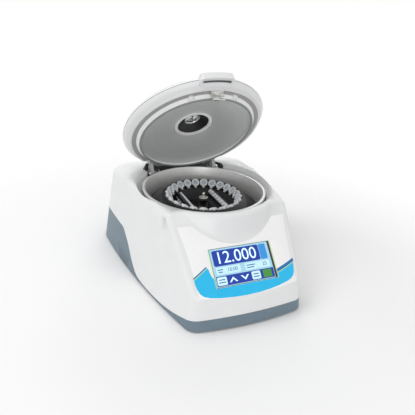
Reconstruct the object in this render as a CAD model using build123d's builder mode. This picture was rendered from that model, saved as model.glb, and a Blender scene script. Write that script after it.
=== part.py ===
"""Benchtop microcentrifuge with a hinged round lid, an angled rotor and a sloped touch panel.

Millimetres. X runs to the right, Y to the back and Z up. The origin is on the bench, in the
middle of the machine's plan. The lid is modelled open, as it stands at rest.
"""

import math
import os

from build123d import *

# Housing: plan, walls and levels
DEPTH = 365.0
HALF_FRONT = 85.5
HALF_REAR = 139.0
FRONT_BOW = 8.0
SIDE_BOW = 12.5
REAR_BOW = 28.0
FRONT_CORNER_R = 22.0
REAR_CORNER_R = 60.0
WALL_LEAN = 6.8
WALL = 3.0
FOOT_HEIGHT = 2.5
COLLAR_TOP = 134.0
DECK_START = 36.0
DECK_FALL_ANGLE = 4.5
EDGE_R = 8.0
RIM_DEPTH = 20.0
TRAY_FLOOR = 3.0

# Seam between shell and tray: distances behind the chamber's middle, and heights
SEAM_GAP = 0.4
SEAM_REAR = 58.0
SEAM_FRONT = 19.7
SEAM_POINTS = [
    (21.0, 52.0),
    (6.0, 42.0),
    (-8.0, 29.0),
    (-22.0, 17.0),
    (-36.0, 8.6),
    (-60.0, 5.0),
    (-100.0, 5.0),
    (-131.0, 7.6),
    (-153.0, 12.0),
]

# Sloped control panel and its display
PANEL_ANGLE = 46.0
PANEL_FORWARD = 150.1
PANEL_HEIGHT = 74.2
OVERLAY_T = 0.5
OVERLAY_HALF_TOP = 82.5
OVERLAY_HALF_LOW = 73.0
OVERLAY_UP = 62.0
OVERLAY_DOWN = 36.0
OVERLAY_BOW = 6.0
OVERLAY_SIDE_BOW = 2.0
OVERLAY_LOW_R = 13.0
OVERLAY_TOP_R = 5.0
OVERLAY_MARGIN = 3.0
DISPLAY_W = 92.0
DISPLAY_H = 52.0
DISPLAY_GAP = 0.3
DISPLAY_FRAME_RIM = 7.0
DISPLAY_FRAME_LAP = 4.0
DISPLAY_FRAME_T = 5.0
DISPLAY_BOARD_LAP = 5.0
BOARD_T = 1.6
CHIP_W = 9.0
CHIP_T = 1.5

# Rotor chamber and its collar
BOWL_Y = 4.5
COLLAR_INNER_R = 108.0
COLLAR_OUTER_R = 117.0
COLLAR_FLARE = 14.0
WELL_FLOOR = 122.0
BOWL_R = 94.1
BOWL_T = 1.2
BOWL_LIP_R = 98.5
BOWL_LIP_T = 2.4
BOWL_LIP_ROUND = 1.0
BOWL_FLOOR = 60.0
BOWL_CORNER_R = 14.0
BOWL_GAP = 0.5
GASKET_T = 3.3
GASKET_REACH = 1.0
BOOT_HOLE_R = 14.0
BOOT_T = 1.5

# Hinge and the recess that takes it
HINGE_BACK = 97.4
HINGE_Z = 119.0
LID_OPEN_ANGLE = 50.3
PIN_R = 3.0
PIN_INNER_X = 44.0
PIN_OUTER_X = 66.0
RUNNING_GAP = 0.05
RECESS_HALF = 67.0
RECESS_FLARE = 8.0
RECESS_FRONT = 30.0
RECESS_FLOOR = 103.0
RECESS_BACK = 139.0
EAR_X = 45.0
EAR_T = 3.0
EAR_R = 8.0
BRACKET_W = 20.0
BRACKET_T = 2.0
BRACKET_TAIL = 24.0
BRACKET_TAIL_W = 15.0
BRACKET_SCREW_Y = 16.0
LUG_X = 55.5
LUG_W = 6.0
LUG_R = 7.0
LUG_REACH = 12.0
LUG_BACK = 1.4
SPRING_WIRE_R = 0.8
SPRING_GAP = 0.3
SPRING_LENGTH = 6.8
SPRING_LEG_R = 0.6
SIDE_GAP = 0.5

# Lid: radii from its own axis, heights above the hinge axis
LID_BASE = 16.0
LID_LIP_R = 108.5
LID_LIP_H = 4.0
LID_CHIN_R = 112.0
LID_CHIN_H = 4.5
LID_R = 117.0
LID_EDGE_LOW = 10.0
LID_EDGE_HIGH = 13.0
LID_TOP = 53.0
DOME_SHOULDER = (96.0, 41.0)
DOME_CROWN = (55.0, 50.0)
TONGUE_HALF = 64.0
TONGUE_START = 80.0
TONGUE_BACK = 99.0
PLATE_T = 2.5
RING_R = 95.4
RING_FOOT_R = 94.6
RING_INNER_R = 92.0
RING_DROP = 4.9
RING_FLANGE_R = 98.0
RING_FLANGE_T = 1.5
SEAL_T = 1.6
SEAL_R = 94.5
SEAL_INNER_R = 91.0
STUD_BOSS_X = 34.5
STUD_BOSS_FORWARD = 90.5
STUD_BOSS_R = 5.0
STUD_BOSS_HOLE_R = 2.8
DISH_LOW = 14.0
DISH_MID = (61.0, 25.2)
DISH_HOLE_R = 30.0
DISH_HIGH = 34.0
DISH_T = 0.8
GROMMET_T = 3.0
GROMMET_LOW = 32.6
GROMMET_H = 4.4
CUP_LOW = 35.0
CUP_T = 1.5
EYE_R = 14.0
WINDOW_R = 13.0
WINDOW_RING_T = 2.5
WINDOW_RING_Z = 44.0
WINDOW_RING_H = 2.0
HANDLE_HALF = 26.0
HANDLE_R = 127.0
HANDLE_DEPTH = 22.0
HANDLE_LOW = 21.0
HANDLE_T = 10.0
HANDLE_CORNER_R = 5.0
GROOVE_HALF = 22.0
GROOVE_R = 121.5
GROOVE_W = 4.0
GROOVE_DEPTH = 5.0

# Striker, lock bolt and solenoid
STRIKER_X = 2.0
STRIKER_W = 20.0
STRIKER_T = 2.5
STRIKER_DROP = 15.0
STRIKER_FORWARD = 101.5
STRIKER_CORNER_R = 1.5
STRIKER_FOOT_T = 1.5
STRIKER_FOOT_W = 7.4
NOTCH_DEPTH = 9.0
NOTCH_GAP = 0.6
SLOT_GAP = 1.5
BOLT_TIP_X = 13.5
BOLT_LENGTH = 16.0
BOLT_H = 5.0
BOLT_T = 3.0
BOLT_TRAVEL = 8.0
LOCK_GAP = 0.3
LEG_X = 22.5
LEG_W = 3.0
PLUNGER_R = 3.0
PLUNGER_Z = 110.0
PLUNGER_L = 17.5
GUIDE_X = 14.0
GUIDE_L = 10.0
GUIDE_WALL = 1.0
GUIDE_TOP_T = 1.4
SOLENOID_X = 30.0
SOLENOID_L = 20.0
SOLENOID_W = 9.0
SOLENOID_H = 11.0
SOLENOID_TAB_L = 8.0
SOLENOID_TAB_W = 5.5

# Rotor and what it carries
ROTOR_R = 88.0
ROTOR_EDGE_Z = 100.0
ROTOR_RIM_R = 66.0
ROTOR_RIM_Z = 115.4
RIM_LAND = 4.0
ROTOR_DISH_Z = 94.0
ROTOR_UNDER_Z = 74.0
ROTOR_WEB_Z = 84.0
ROTOR_WEB_R = 36.0
ROTOR_SKIRT_R = 60.0
ROTOR_CHAMFER = 4.5
HUB_R = 14.0
HUB_LOW_Z = 78.0
HUB_TOP_R = 9.0
HUB_TOP_Z = 97.0
TUBE_COUNT = 24
TUBE_TILT = 45.0
TUBE_SEAT_R = 57.8
TUBE_R = 5.4
TUBE_LENGTH = 34.0
TUBE_TIP_R = 2.0
TUBE_STRAIGHT = 18.0
TUBE_HOLE_GAP = 0.2
TUBE_FLOOR_GAP = 1.0
TUBE_WALL = 1.0
LIP_R = 6.4
LIP_T = 1.2
CAP_T = 2.6
CAP_TAB_W = 4.0
CAP_TAB_REACH = 9.0
CAP_TAB_T = 1.2
STRIP_X = 27.0
STRIP_Z = 104.0
RACK_TOP_Z = 107.0
RACK_BACK_X = 34.0
RACK_LENGTH = 71.0
STRIP_COUNT = 8
STRIP_PITCH = 9.0
STRIP_TUBE_R = 3.0
STRIP_TUBE_L = 17.0
STRIP_BAR_W = 7.5
STRIP_BAR_L = 70.0
STRIP_BAR_T = 1.4
STRIP_CAP_R = 3.3
STRIP_CAP_T = 1.6
SHAFT_R = 4.0
SHAFT_CLEAR = 0.5
STUD_R = 3.0
STUD_TOP = 107.5
WASHER_R = 8.0
WASHER_T = 1.5
NUT_BASE_R = 5.5
NUT_R = 7.5
NUT_DISC_Z = 106.0
NUT_DISC_T = 4.0
NUT_ROOF_T = 2.0
NUT_STEM_R = 1.6
NUT_BALL_R = 2.3
NUT_BALL_Z = 116.0

# Drive under the bowl
MOTOR_R = 40.0
MOTOR_BASE = 12.0
MOTOR_TOP = 46.0
MOTOR_WALL = 2.5
MOTOR_PLATE_R = 66.0
MOTOR_PLATE_T = 3.0
DAMPER_R = 8.0
DAMPER_H = 12.0
DAMPER_CIRCLE_R = 56.0
DAMPER_COUNT = 3
DAMPER_START = 90.0
DAMPER_SCREW_BITE = 8.0
STATOR_Z = 22.0
STATOR_H = 16.0
ARMATURE_R = 22.0
AIR_GAP = 2.0
BEARING_R = 11.0
BEARING_T = 7.0

# Electronics
BOARD_W = 150.0
BOARD_D = 84.0
BOARD_Y = 116.0
BOARD_Z = 18.0
STANDOFF_R = 3.5
STANDOFF_INSET = 8.0
TRANSFORMER = (45.0, 50.0, 34.0)
TRANSFORMER_X = -45.0
HEAT_SINK_X = 42.0
HEAT_SINK_W = 56.0
HEAT_SINK_H = 26.0
FIN_COUNT = 8
FIN_T = 1.5
FIN_DEPTH = 12.0
CAPACITOR_R = 7.0
CAPACITOR_H = 25.0
CAPACITOR_COUNT = 3
CAPACITOR_PITCH = 19.0
CAPACITOR_X = 36.0
CAPACITOR_Y = 94.0

# Mains inlet and power switch in the back of the tray
REAR_FACE_Y = 170.0
REAR_X = -6.5
REAR_W = 69.0
REAR_H = 33.0
REAR_Z = 36.0
INLET_X = -22.0
INLET_W = 27.5
INLET_H = 20.5
INLET_DEPTH = 24.0
INLET_WALL = 1.6
INLET_SOCKET = 17.0
INLET_PIN = (2.0, 4.0, 14.0)
INLET_PIN_PITCH = 7.0
INLET_EARTH_RISE = 4.0
FLANGE_RIM = 3.5
FLANGE_T = 2.0
SWITCH_X = 14.0
SWITCH_W = 19.0
SWITCH_H = 24.0
SWITCH_DEPTH = 16.0
ROCKER_W = 14.6
ROCKER_R = 10.0
ROCKER_PIVOT = 1.5
ROCKER_DISH = 3.5
ROCKER_FACE = 5.5
ROCKER_BACK = 3.0
ROCKER_TILT = 7.0
ROCKER_GAP = 0.3
ROCKER_WELL = 1.5
TRUNNION_R = 1.2
TRUNNION_L = 1.0

# Vents in the back of the shell
VENT_W = 52.0
VENT_H = 3.0
VENT_PITCH = 7.0
VENT_COUNT = 5
VENT_Z = 82.0

# Feet and fasteners
FOOT_R = 11.0
FOOT_SINK = 1.5
FOOT_ROUND = 0.8
FOOT_POSITIONS = [(-62.0, -142.0), (62.0, -142.0), (-100.0, 110.0), (100.0, 110.0)]
FOOT_BOSS_R = 5.0
FOOT_BOSS_TOP = 11.0
FOOT_SCREW_HEAD_Z = 1.0
POST_POSITIONS = [(-66.0, -118.0), (66.0, -118.0), (-112.0, 60.0), (112.0, 60.0)]
POST_R = 6.0
POST_MEET_Z = 22.0
POST_SCREW_BITE = 12.0
SCREW_R = 2.0
SCREW_HEAD_R = 3.8
SCREW_HEAD_T = 2.2
SCREW_SLOT = 1.0
SCREW_SINK = 2.5

# Places worked out from the sizes above
FRONT_Y = -DEPTH / 2
REAR_Y = DEPTH / 2
HINGE_Y = BOWL_Y + HINGE_BACK
STRIKER_Y = BOWL_Y - STRIKER_FORWARD
BOWL_HOLE_R = BOWL_R + BOWL_T + BOWL_GAP
LIP_LOW_Z = WELL_FLOOR + GASKET_T
BOLT_Z = WELL_FLOOR + LOCK_GAP
BOLT_SLOT_HALF = BOLT_T / 2 + LOCK_GAP
SEAL_LOW = LID_BASE - RING_DROP - SEAL_T
DAMPER_BASE = MOTOR_TOP - DAMPER_H
PLATE_TOP = MOTOR_TOP + MOTOR_PLATE_T
TRAY_TOP = FOOT_HEIGHT + TRAY_FLOOR
BOARD_TOP = BOARD_Z + BOARD_T
NUT_LOW = HUB_TOP_Z + WASHER_T
ROCKER_Y = REAR_FACE_Y - ROCKER_PIVOT
tilt = math.radians(TUBE_TILT)
TUBE_SEAT_Z = ROTOR_RIM_Z - (ROTOR_RIM_R - RIM_LAND - TUBE_SEAT_R) / math.tan(tilt)
INNER_CONE_R = ROTOR_RIM_R - RIM_LAND - (ROTOR_RIM_Z - ROTOR_DISH_Z) * math.tan(tilt)

panel_plane = Plane(
    origin=(0, BOWL_Y - PANEL_FORWARD, PANEL_HEIGHT),
    x_dir=(1, 0, 0),
    z_dir=(0, -math.sin(math.radians(PANEL_ANGLE)), math.cos(math.radians(PANEL_ANGLE))),
)
bowl_plane = Plane(origin=(0, BOWL_Y, 0))
bowl_section = Plane(origin=(0, BOWL_Y, 0), x_dir=(1, 0, 0), z_dir=(0, -1, 0))
bowl_axis = Axis((0, BOWL_Y, 0), (0, 0, 1))
rear_plane = Plane.XZ.offset(-REAR_FACE_Y)

# The lid's frame stands open about the hinge axis
opened = math.radians(LID_OPEN_ANGLE)
hinge_plane = Plane(
    origin=(0, HINGE_Y, HINGE_Z), x_dir=(1, 0, 0), z_dir=(0, math.sin(opened), math.cos(opened))
)
hinge_side = Plane(origin=hinge_plane.origin, x_dir=hinge_plane.y_dir, z_dir=(1, 0, 0))
lid_origin = hinge_plane.from_local_coords((0, -HINGE_BACK, 0))
lid_plane = Plane(origin=lid_origin, x_dir=(1, 0, 0), z_dir=hinge_plane.z_dir)
lid_section = Plane(origin=lid_origin, x_dir=(1, 0, 0), z_dir=-hinge_plane.y_dir)
lid_axis = Axis(lid_origin, hinge_plane.z_dir)

# Seats of one tube and of one strip, about the rotor's own axis
out_of_seat = (-math.sin(tilt), 0, math.cos(tilt))
seat_plane = Plane(origin=(TUBE_SEAT_R, 0, TUBE_SEAT_Z), x_dir=(0, 1, 0), z_dir=out_of_seat)
seat_section = Plane(
    origin=seat_plane.origin, x_dir=(0, 1, 0), z_dir=(math.cos(tilt), 0, math.sin(tilt))
)
strip_plane = Plane(origin=(STRIP_X, 0, STRIP_Z), x_dir=(0, 1, 0), z_dir=out_of_seat)


def footprint(inset):
    """Plan of the housing at the bench, moved in from the outside."""
    with BuildSketch() as plan:
        with BuildLine():
            front = (HALF_FRONT, FRONT_Y + FRONT_BOW)
            rear = (HALF_REAR, REAR_Y - REAR_BOW)
            mirrored_front = (-front[0], front[1])
            mirrored_rear = (-rear[0], rear[1])
            ThreePointArc(mirrored_front, (0, FRONT_Y), front)
            SagittaArc(front, rear, -SIDE_BOW)
            ThreePointArc(rear, (0, REAR_Y), mirrored_rear)
            SagittaArc(mirrored_rear, mirrored_front, -SIDE_BOW)
        make_face()
        fillet(plan.vertices().group_by(Axis.Y)[0], FRONT_CORNER_R)
        fillet(plan.vertices().group_by(Axis.Y)[-1], REAR_CORNER_R)
        if inset > 0:
            offset(amount=-inset)
    return plan.sketch


def over_panel(inset):
    """All that lies over the sloped panel, but for the collar round the chamber."""
    reach = DEPTH
    with BuildPart() as wedge:
        with BuildSketch(panel_plane.offset(-inset)):
            Rectangle(2 * reach, 2 * reach)
        extrude(amount=reach)
        with BuildSketch(bowl_section):
            with BuildLine():
                flare = COLLAR_TOP * math.tan(math.radians(COLLAR_FLARE))
                top_r = COLLAR_OUTER_R - inset
                Polyline(
                    (0, 0), (top_r + flare, 0), (top_r, COLLAR_TOP), (top_r, reach), (0, reach), close=True
                )
            make_face()
        revolve(axis=bowl_axis, mode=Mode.SUBTRACT)
        with BuildSketch(Plane.XY):
            with Locations((0, BOWL_Y)):
                Rectangle(2 * reach, reach, align=(Align.CENTER, Align.MIN))
        extrude(amount=2 * reach, mode=Mode.SUBTRACT)
    return wedge.part


def over_deck(inset):
    """All that lies over the deck, which falls towards the back."""
    reach = DEPTH
    with BuildPart() as block:
        deck = Plane(origin=(0, BOWL_Y + DECK_START, COLLAR_TOP - inset))
        with BuildSketch(deck.rotated((-DECK_FALL_ANGLE, 0, 0))):
            Rectangle(2 * reach, reach, align=(Align.CENTER, Align.MIN))
        extrude(amount=reach)
    return block.part


def side_seam(gap):
    """All that lies under the swept line that parts the shell from the tray."""
    reach = DEPTH
    with BuildPart() as block:
        with BuildSketch(Plane.YZ):
            with BuildLine():
                rear = (BOWL_Y + DECK_START, SEAM_REAR - gap)
                front = (FRONT_Y, SEAM_FRONT - gap)
                between = [(BOWL_Y + back, height - gap) for back, height in SEAM_POINTS]
                Spline(rear, *between, front, tangents=[(-1, 0), (-1, 0.2)])
                Polyline(
                    front,
                    (FRONT_Y - reach, front[1]),
                    (FRONT_Y - reach, -reach),
                    (REAR_Y + reach, -reach),
                    (REAR_Y + reach, rear[1]),
                    rear,
                )
            make_face()
        extrude(amount=reach, both=True)
    return block.part


def housing_form(inset):
    """The housing's whole outer form, or the room inside its walls."""
    with BuildPart() as form:
        add(footprint(inset))
        extrude(amount=COLLAR_TOP - inset, taper=WALL_LEAN)
        add(over_panel(inset), mode=Mode.SUBTRACT)
        add(over_deck(inset), mode=Mode.SUBTRACT)
    return form.part


def hinge_recess(margin):
    """The pocket behind the chamber that takes the hinges."""
    half = RECESS_HALF + margin
    back = RECESS_BACK + margin
    with BuildPart() as block:
        with BuildSketch(Plane.XY.offset(RECESS_FLOOR - margin)):
            with BuildLine():
                Polyline(
                    (-half, HINGE_Y - RECESS_FRONT),
                    (half, HINGE_Y - RECESS_FRONT),
                    (half + RECESS_FLARE, HINGE_Y),
                    (half - RECESS_FLARE, back),
                    (RECESS_FLARE - half, back),
                    (-half - RECESS_FLARE, HINGE_Y),
                    close=True,
                )
            make_face()
        extrude(amount=COLLAR_TOP)
        with BuildSketch(bowl_plane):
            Circle(BOWL_HOLE_R + WALL - margin)
        extrude(amount=2 * COLLAR_TOP, mode=Mode.SUBTRACT)
    return block.part


def lid_form(inset):
    """The lid's outer form, or the hollow under its shell."""
    with BuildPart() as form:
        with BuildSketch(lid_section):
            with BuildLine():
                edge = Polyline(
                    (0, LID_TOP - inset),
                    (0, LID_BASE),
                    (LID_LIP_R - inset, LID_BASE),
                    (LID_LIP_R - inset, LID_BASE + LID_LIP_H + inset),
                    (LID_CHIN_R - inset / 2, LID_BASE + LID_CHIN_H + inset),
                    (LID_R - inset, LID_BASE + LID_EDGE_LOW + inset / 2),
                    (LID_R - inset, LID_BASE + LID_EDGE_HIGH),
                )
                Spline(
                    edge @ 1,
                    (DOME_SHOULDER[0] - inset / 3, DOME_SHOULDER[1] - inset),
                    (DOME_CROWN[0], DOME_CROWN[1] - inset),
                    edge @ 0,
                    tangents=[(-0.3, 1), (-1, 0)],
                )
            make_face()
        revolve(axis=lid_axis)
        with BuildSketch(lid_plane):
            Rectangle(2 * DEPTH, 2 * DEPTH)
            lid_outline(inset)
        extrude(amount=2 * LID_TOP, mode=Mode.SUBTRACT)
    return form.part


def lid_outline(inset):
    """Takes the lid's plan, a disc with a narrower tongue at the back, out of a sketch."""
    with Locations((0, TONGUE_START - inset)):
        Rectangle(2 * DEPTH, 2 * DEPTH, align=(Align.CENTER, Align.MAX), mode=Mode.SUBTRACT)
    with Locations((0, TONGUE_BACK - inset)):
        Rectangle(
            2 * (TONGUE_HALF - inset), DEPTH, align=(Align.CENTER, Align.MAX), mode=Mode.SUBTRACT
        )


def turned(section, axis, points):
    """A solid of revolution from the corners of its half section."""
    with BuildPart() as body:
        with BuildSketch(section):
            with BuildLine():
                Polyline(*points, close=True)
            make_face()
        revolve(axis=axis)
    return body.part


def flat_ring(plane, outer_r, inner_r, thickness):
    """A flat ring that stands on a plane."""
    with BuildPart() as body:
        with BuildSketch(plane):
            Circle(outer_r)
            Circle(inner_r, mode=Mode.SUBTRACT)
        extrude(amount=thickness)
    return body.part


def pan_screw(plane, length):
    """A cross slotted screw whose head stands on the plane and whose shank goes down from it."""
    with BuildPart() as screw:
        with BuildSketch(plane):
            Circle(SCREW_HEAD_R)
        extrude(amount=SCREW_HEAD_T)
        with BuildSketch(plane.offset(SCREW_HEAD_T)):
            Rectangle(SCREW_HEAD_R, SCREW_SLOT)
            Rectangle(SCREW_SLOT, SCREW_HEAD_R)
        extrude(amount=-SCREW_HEAD_T / 2, mode=Mode.SUBTRACT)
        with BuildSketch(plane):
            Circle(SCREW_R)
        extrude(amount=-length)
    return screw.part


os.makedirs("parts", exist_ok=True)

# Outer form with its rounded rims
with BuildPart() as outer_form:
    add(housing_form(0))
    crease = Vector(0, BOWL_Y + DECK_START, COLLAR_TOP)
    rims = outer_form.edges().filter_by(lambda edge: edge.center().Z > COLLAR_TOP - RIM_DEPTH)
    rims = rims.filter_by(lambda edge: (edge.center() - crease).length > EDGE_R)
    faces = outer_form.faces().filter_by(lambda face: face.normal_at().dot(panel_plane.z_dir) > 0.999)
    panel_rim = faces.edges().filter_by(lambda edge: edge.center().Z < COLLAR_TOP - RIM_DEPTH)
    panel_rim = panel_rim.filter_by(lambda edge: abs(edge.center().X) > 1 or edge.center().Z < PANEL_HEIGHT)
    fillet(rims + panel_rim, EDGE_R)

with BuildPart() as room:
    add(housing_form(WALL))
    with BuildSketch(bowl_plane.offset(WELL_FLOOR - WALL)):
        Circle(COLLAR_INNER_R + WALL)
    extrude(amount=COLLAR_TOP, mode=Mode.SUBTRACT)
    add(hinge_recess(WALL), mode=Mode.SUBTRACT)

with BuildPart() as shell_posts:
    with BuildSketch(Plane.XY.offset(POST_MEET_Z)):
        with Locations(*POST_POSITIONS):
            Circle(POST_R)
    extrude(amount=COLLAR_TOP)
    with BuildSketch(Plane.XY.offset(POST_MEET_Z)):
        with Locations(*POST_POSITIONS):
            Circle(SCREW_R)
    extrude(amount=POST_SCREW_BITE + SCREW_R, mode=Mode.SUBTRACT)
    add(housing_form(WALL / 2), mode=Mode.INTERSECT)

# Upper housing: collar, deck, sloped panel and the openings in them
with BuildPart() as upper_housing:
    add(outer_form.part)
    add(side_seam(0), mode=Mode.SUBTRACT)
    add(room.part, mode=Mode.SUBTRACT)
    add(shell_posts.part)
    with BuildSketch(bowl_plane.offset(WELL_FLOOR)):
        Circle(COLLAR_INNER_R)
    extrude(amount=COLLAR_TOP, mode=Mode.SUBTRACT)
    with BuildSketch(bowl_plane):
        Circle(BOWL_HOLE_R)
    extrude(amount=2 * COLLAR_TOP, mode=Mode.SUBTRACT)
    add(hinge_recess(0), mode=Mode.SUBTRACT)
    with BuildSketch(Plane.XY.offset(WELL_FLOOR)):
        with Locations((STRIKER_X, STRIKER_Y)):
            Rectangle(STRIKER_W + 2 * SLOT_GAP, STRIKER_T + 2 * SLOT_GAP)
        with Locations((LEG_X - BOLT_TRAVEL - LOCK_GAP, STRIKER_Y)):
            Rectangle(
                BOLT_TRAVEL + LEG_W + 2 * SLOT_GAP,
                2 * BOLT_SLOT_HALF,
                align=(Align.MIN, Align.CENTER),
            )
    extrude(amount=-2 * WALL, mode=Mode.SUBTRACT)
    with BuildSketch(panel_plane):
        Rectangle(DISPLAY_W + 2 * DISPLAY_GAP, DISPLAY_H + 2 * DISPLAY_GAP)
    extrude(amount=-2 * WALL, mode=Mode.SUBTRACT)
    with BuildSketch(rear_plane.offset(2 * WALL)):
        with Locations((0, VENT_Z)):
            with GridLocations(0, VENT_PITCH, 1, VENT_COUNT):
                SlotOverall(VENT_W, VENT_H)
    extrude(amount=-DEPTH / 2, mode=Mode.SUBTRACT)
upper_housing.part.label = "upper_housing"
export_step(upper_housing.part, "parts/upper_housing.step")

# Base tray: floor, posts, damper bosses and the flat recess for inlet and switch
with BuildPart() as tray_room:
    add(footprint(WALL))
    extrude(amount=COLLAR_TOP, taper=WALL_LEAN)
    with BuildSketch():
        Rectangle(2 * DEPTH, 2 * DEPTH)
    extrude(amount=TRAY_TOP, mode=Mode.SUBTRACT)

with BuildPart() as rear_block:
    with BuildSketch(rear_plane.offset(WALL)):
        with Locations((REAR_X, REAR_Z)):
            Rectangle(REAR_W + 2 * WALL, REAR_H + 2 * WALL)
    extrude(amount=-DEPTH / 2)
    add(outer_form.part, mode=Mode.INTERSECT)

with BuildPart() as base_tray:
    add(outer_form.part)
    add(side_seam(SEAM_GAP), mode=Mode.INTERSECT)
    add(tray_room.part, mode=Mode.SUBTRACT)
    add(rear_block.part)
    with BuildSketch(rear_plane):
        with Locations((REAR_X, REAR_Z)):
            Rectangle(REAR_W, REAR_H)
    extrude(amount=-DEPTH / 2, mode=Mode.SUBTRACT)
    with BuildSketch(rear_plane):
        with Locations((INLET_X, REAR_Z)):
            Rectangle(INLET_W + 2 * DISPLAY_GAP, INLET_H + 2 * DISPLAY_GAP)
        with Locations((SWITCH_X, REAR_Z)):
            Rectangle(SWITCH_W + 2 * DISPLAY_GAP, SWITCH_H + 2 * DISPLAY_GAP)
    extrude(amount=2 * WALL, mode=Mode.SUBTRACT)
    with BuildSketch():
        with Locations(*POST_POSITIONS):
            Circle(POST_R)
    extrude(amount=POST_MEET_Z)
    with BuildSketch():
        with Locations(*FOOT_POSITIONS):
            Circle(FOOT_BOSS_R)
    extrude(amount=FOOT_BOSS_TOP)
    with BuildSketch(bowl_plane):
        with PolarLocations(DAMPER_CIRCLE_R, DAMPER_COUNT, start_angle=DAMPER_START):
            Circle(DAMPER_R)
    extrude(amount=DAMPER_BASE)
    with BuildSketch():
        with Locations(*POST_POSITIONS, *FOOT_POSITIONS):
            Circle(SCREW_R)
    extrude(amount=POST_MEET_Z, mode=Mode.SUBTRACT)
    with BuildSketch(bowl_plane.offset(DAMPER_BASE)):
        with PolarLocations(DAMPER_CIRCLE_R, DAMPER_COUNT, start_angle=DAMPER_START):
            Circle(SCREW_R)
    extrude(amount=-DAMPER_SCREW_BITE, mode=Mode.SUBTRACT)
    with BuildSketch():
        with Locations(*POST_POSITIONS):
            Circle(SCREW_HEAD_R + DISPLAY_GAP)
    extrude(amount=FOOT_HEIGHT + SCREW_SINK, mode=Mode.SUBTRACT)
    with BuildSketch():
        with Locations(*FOOT_POSITIONS):
            Circle(FOOT_R)
    extrude(amount=FOOT_HEIGHT + FOOT_SINK, mode=Mode.SUBTRACT)
    with BuildSketch():
        Rectangle(2 * DEPTH, 2 * DEPTH)
    extrude(amount=FOOT_HEIGHT, mode=Mode.SUBTRACT)
base_tray.part.label = "base_tray"
export_step(base_tray.part, "parts/base_tray.step")

with BuildPart() as rubber_feet:
    with BuildSketch():
        with Locations(*FOOT_POSITIONS):
            Circle(FOOT_R)
    extrude(amount=FOOT_HEIGHT + FOOT_SINK)
    fillet(rubber_feet.edges().group_by(Axis.Z)[0], FOOT_ROUND)
    with BuildSketch():
        with Locations(*FOOT_POSITIONS):
            Circle(SCREW_R)
    extrude(amount=FOOT_HEIGHT + FOOT_SINK, mode=Mode.SUBTRACT)
    with BuildSketch():
        with Locations(*FOOT_POSITIONS):
            Circle(SCREW_HEAD_R)
    extrude(amount=FOOT_SCREW_HEAD_Z + SCREW_HEAD_T, mode=Mode.SUBTRACT)
rubber_feet.part.label = "rubber_feet"
export_step(rubber_feet.part, "parts/rubber_feet.step")

with BuildPart() as foot_screws:
    for foot_x, foot_y in FOOT_POSITIONS:
        head_z = FOOT_SCREW_HEAD_Z + SCREW_HEAD_T
        below = Plane(origin=(foot_x, foot_y, head_z), x_dir=(1, 0, 0), z_dir=(0, 0, -1))
        add(pan_screw(below, FOOT_BOSS_TOP - head_z - SIDE_GAP))
foot_screws.part.label = "foot_screws"
export_step(foot_screws.part, "parts/foot_screws.step")

with BuildPart() as housing_screws:
    for post_x, post_y in POST_POSITIONS:
        head_z = FOOT_HEIGHT + SCREW_SINK
        below = Plane(origin=(post_x, post_y, head_z), x_dir=(1, 0, 0), z_dir=(0, 0, -1))
        add(pan_screw(below, POST_MEET_Z + POST_SCREW_BITE - head_z))
housing_screws.part.label = "housing_screws"
export_step(housing_screws.part, "parts/housing_screws.step")

# Sloped panel: printed overlay, glass, frame, display and its board
with BuildPart() as panel_overlay:
    with BuildSketch(panel_plane) as outline:
        with BuildLine():
            top_left = (-OVERLAY_HALF_TOP, OVERLAY_UP)
            low_left = (-OVERLAY_HALF_LOW, -OVERLAY_DOWN)
            low_right = (OVERLAY_HALF_LOW, -OVERLAY_DOWN)
            top_right = (OVERLAY_HALF_TOP, OVERLAY_UP)
            SagittaArc(top_left, low_left, -OVERLAY_SIDE_BOW)
            ThreePointArc(low_left, (0, -OVERLAY_DOWN - OVERLAY_BOW), low_right)
            SagittaArc(low_right, top_right, -OVERLAY_SIDE_BOW)
            Line(top_right, top_left)
        make_face()
        fillet(outline.vertices().group_by(Axis.Y)[0], OVERLAY_LOW_R)
        fillet(outline.vertices().group_by(Axis.Y)[-1], OVERLAY_TOP_R)
        Rectangle(
            DISPLAY_W + 2 * DISPLAY_GAP, DISPLAY_H + 2 * DISPLAY_GAP, mode=Mode.SUBTRACT
        )
    extrude(amount=OVERLAY_T)
    with BuildSketch(bowl_section):
        with BuildLine():
            collar_top_r = COLLAR_OUTER_R + OVERLAY_MARGIN
            foot_r = collar_top_r + COLLAR_TOP * math.tan(math.radians(COLLAR_FLARE))
            Polyline((0, 0), (foot_r, 0), (collar_top_r, COLLAR_TOP), (0, COLLAR_TOP), close=True)
        make_face()
    revolve(axis=bowl_axis, mode=Mode.SUBTRACT)
panel_overlay.part.label = "panel_overlay"
export_step(panel_overlay.part, "parts/panel_overlay.step")

with BuildPart() as display_glass:
    with BuildSketch(panel_plane.offset(OVERLAY_T)):
        Rectangle(DISPLAY_W, DISPLAY_H)
    extrude(amount=-OVERLAY_T - WALL)
display_glass.part.label = "display_glass"
export_step(display_glass.part, "parts/display_glass.step")

with BuildPart() as display_frame:
    with BuildSketch(panel_plane.offset(-WALL)):
        Rectangle(DISPLAY_W + 2 * DISPLAY_FRAME_RIM, DISPLAY_H + 2 * DISPLAY_FRAME_RIM)
        Rectangle(
            DISPLAY_W - 2 * DISPLAY_FRAME_LAP, DISPLAY_H - 2 * DISPLAY_FRAME_LAP, mode=Mode.SUBTRACT
        )
    extrude(amount=-DISPLAY_FRAME_T)
display_frame.part.label = "display_frame"
export_step(display_frame.part, "parts/display_frame.step")

with BuildPart() as display_module:
    with BuildSketch(panel_plane.offset(-WALL)):
        lap = DISPLAY_FRAME_LAP + DISPLAY_GAP
        Rectangle(DISPLAY_W - 2 * lap, DISPLAY_H - 2 * lap)
    extrude(amount=-DISPLAY_FRAME_T)
display_module.part.label = "display_module"
export_step(display_module.part, "parts/display_module.step")

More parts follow.
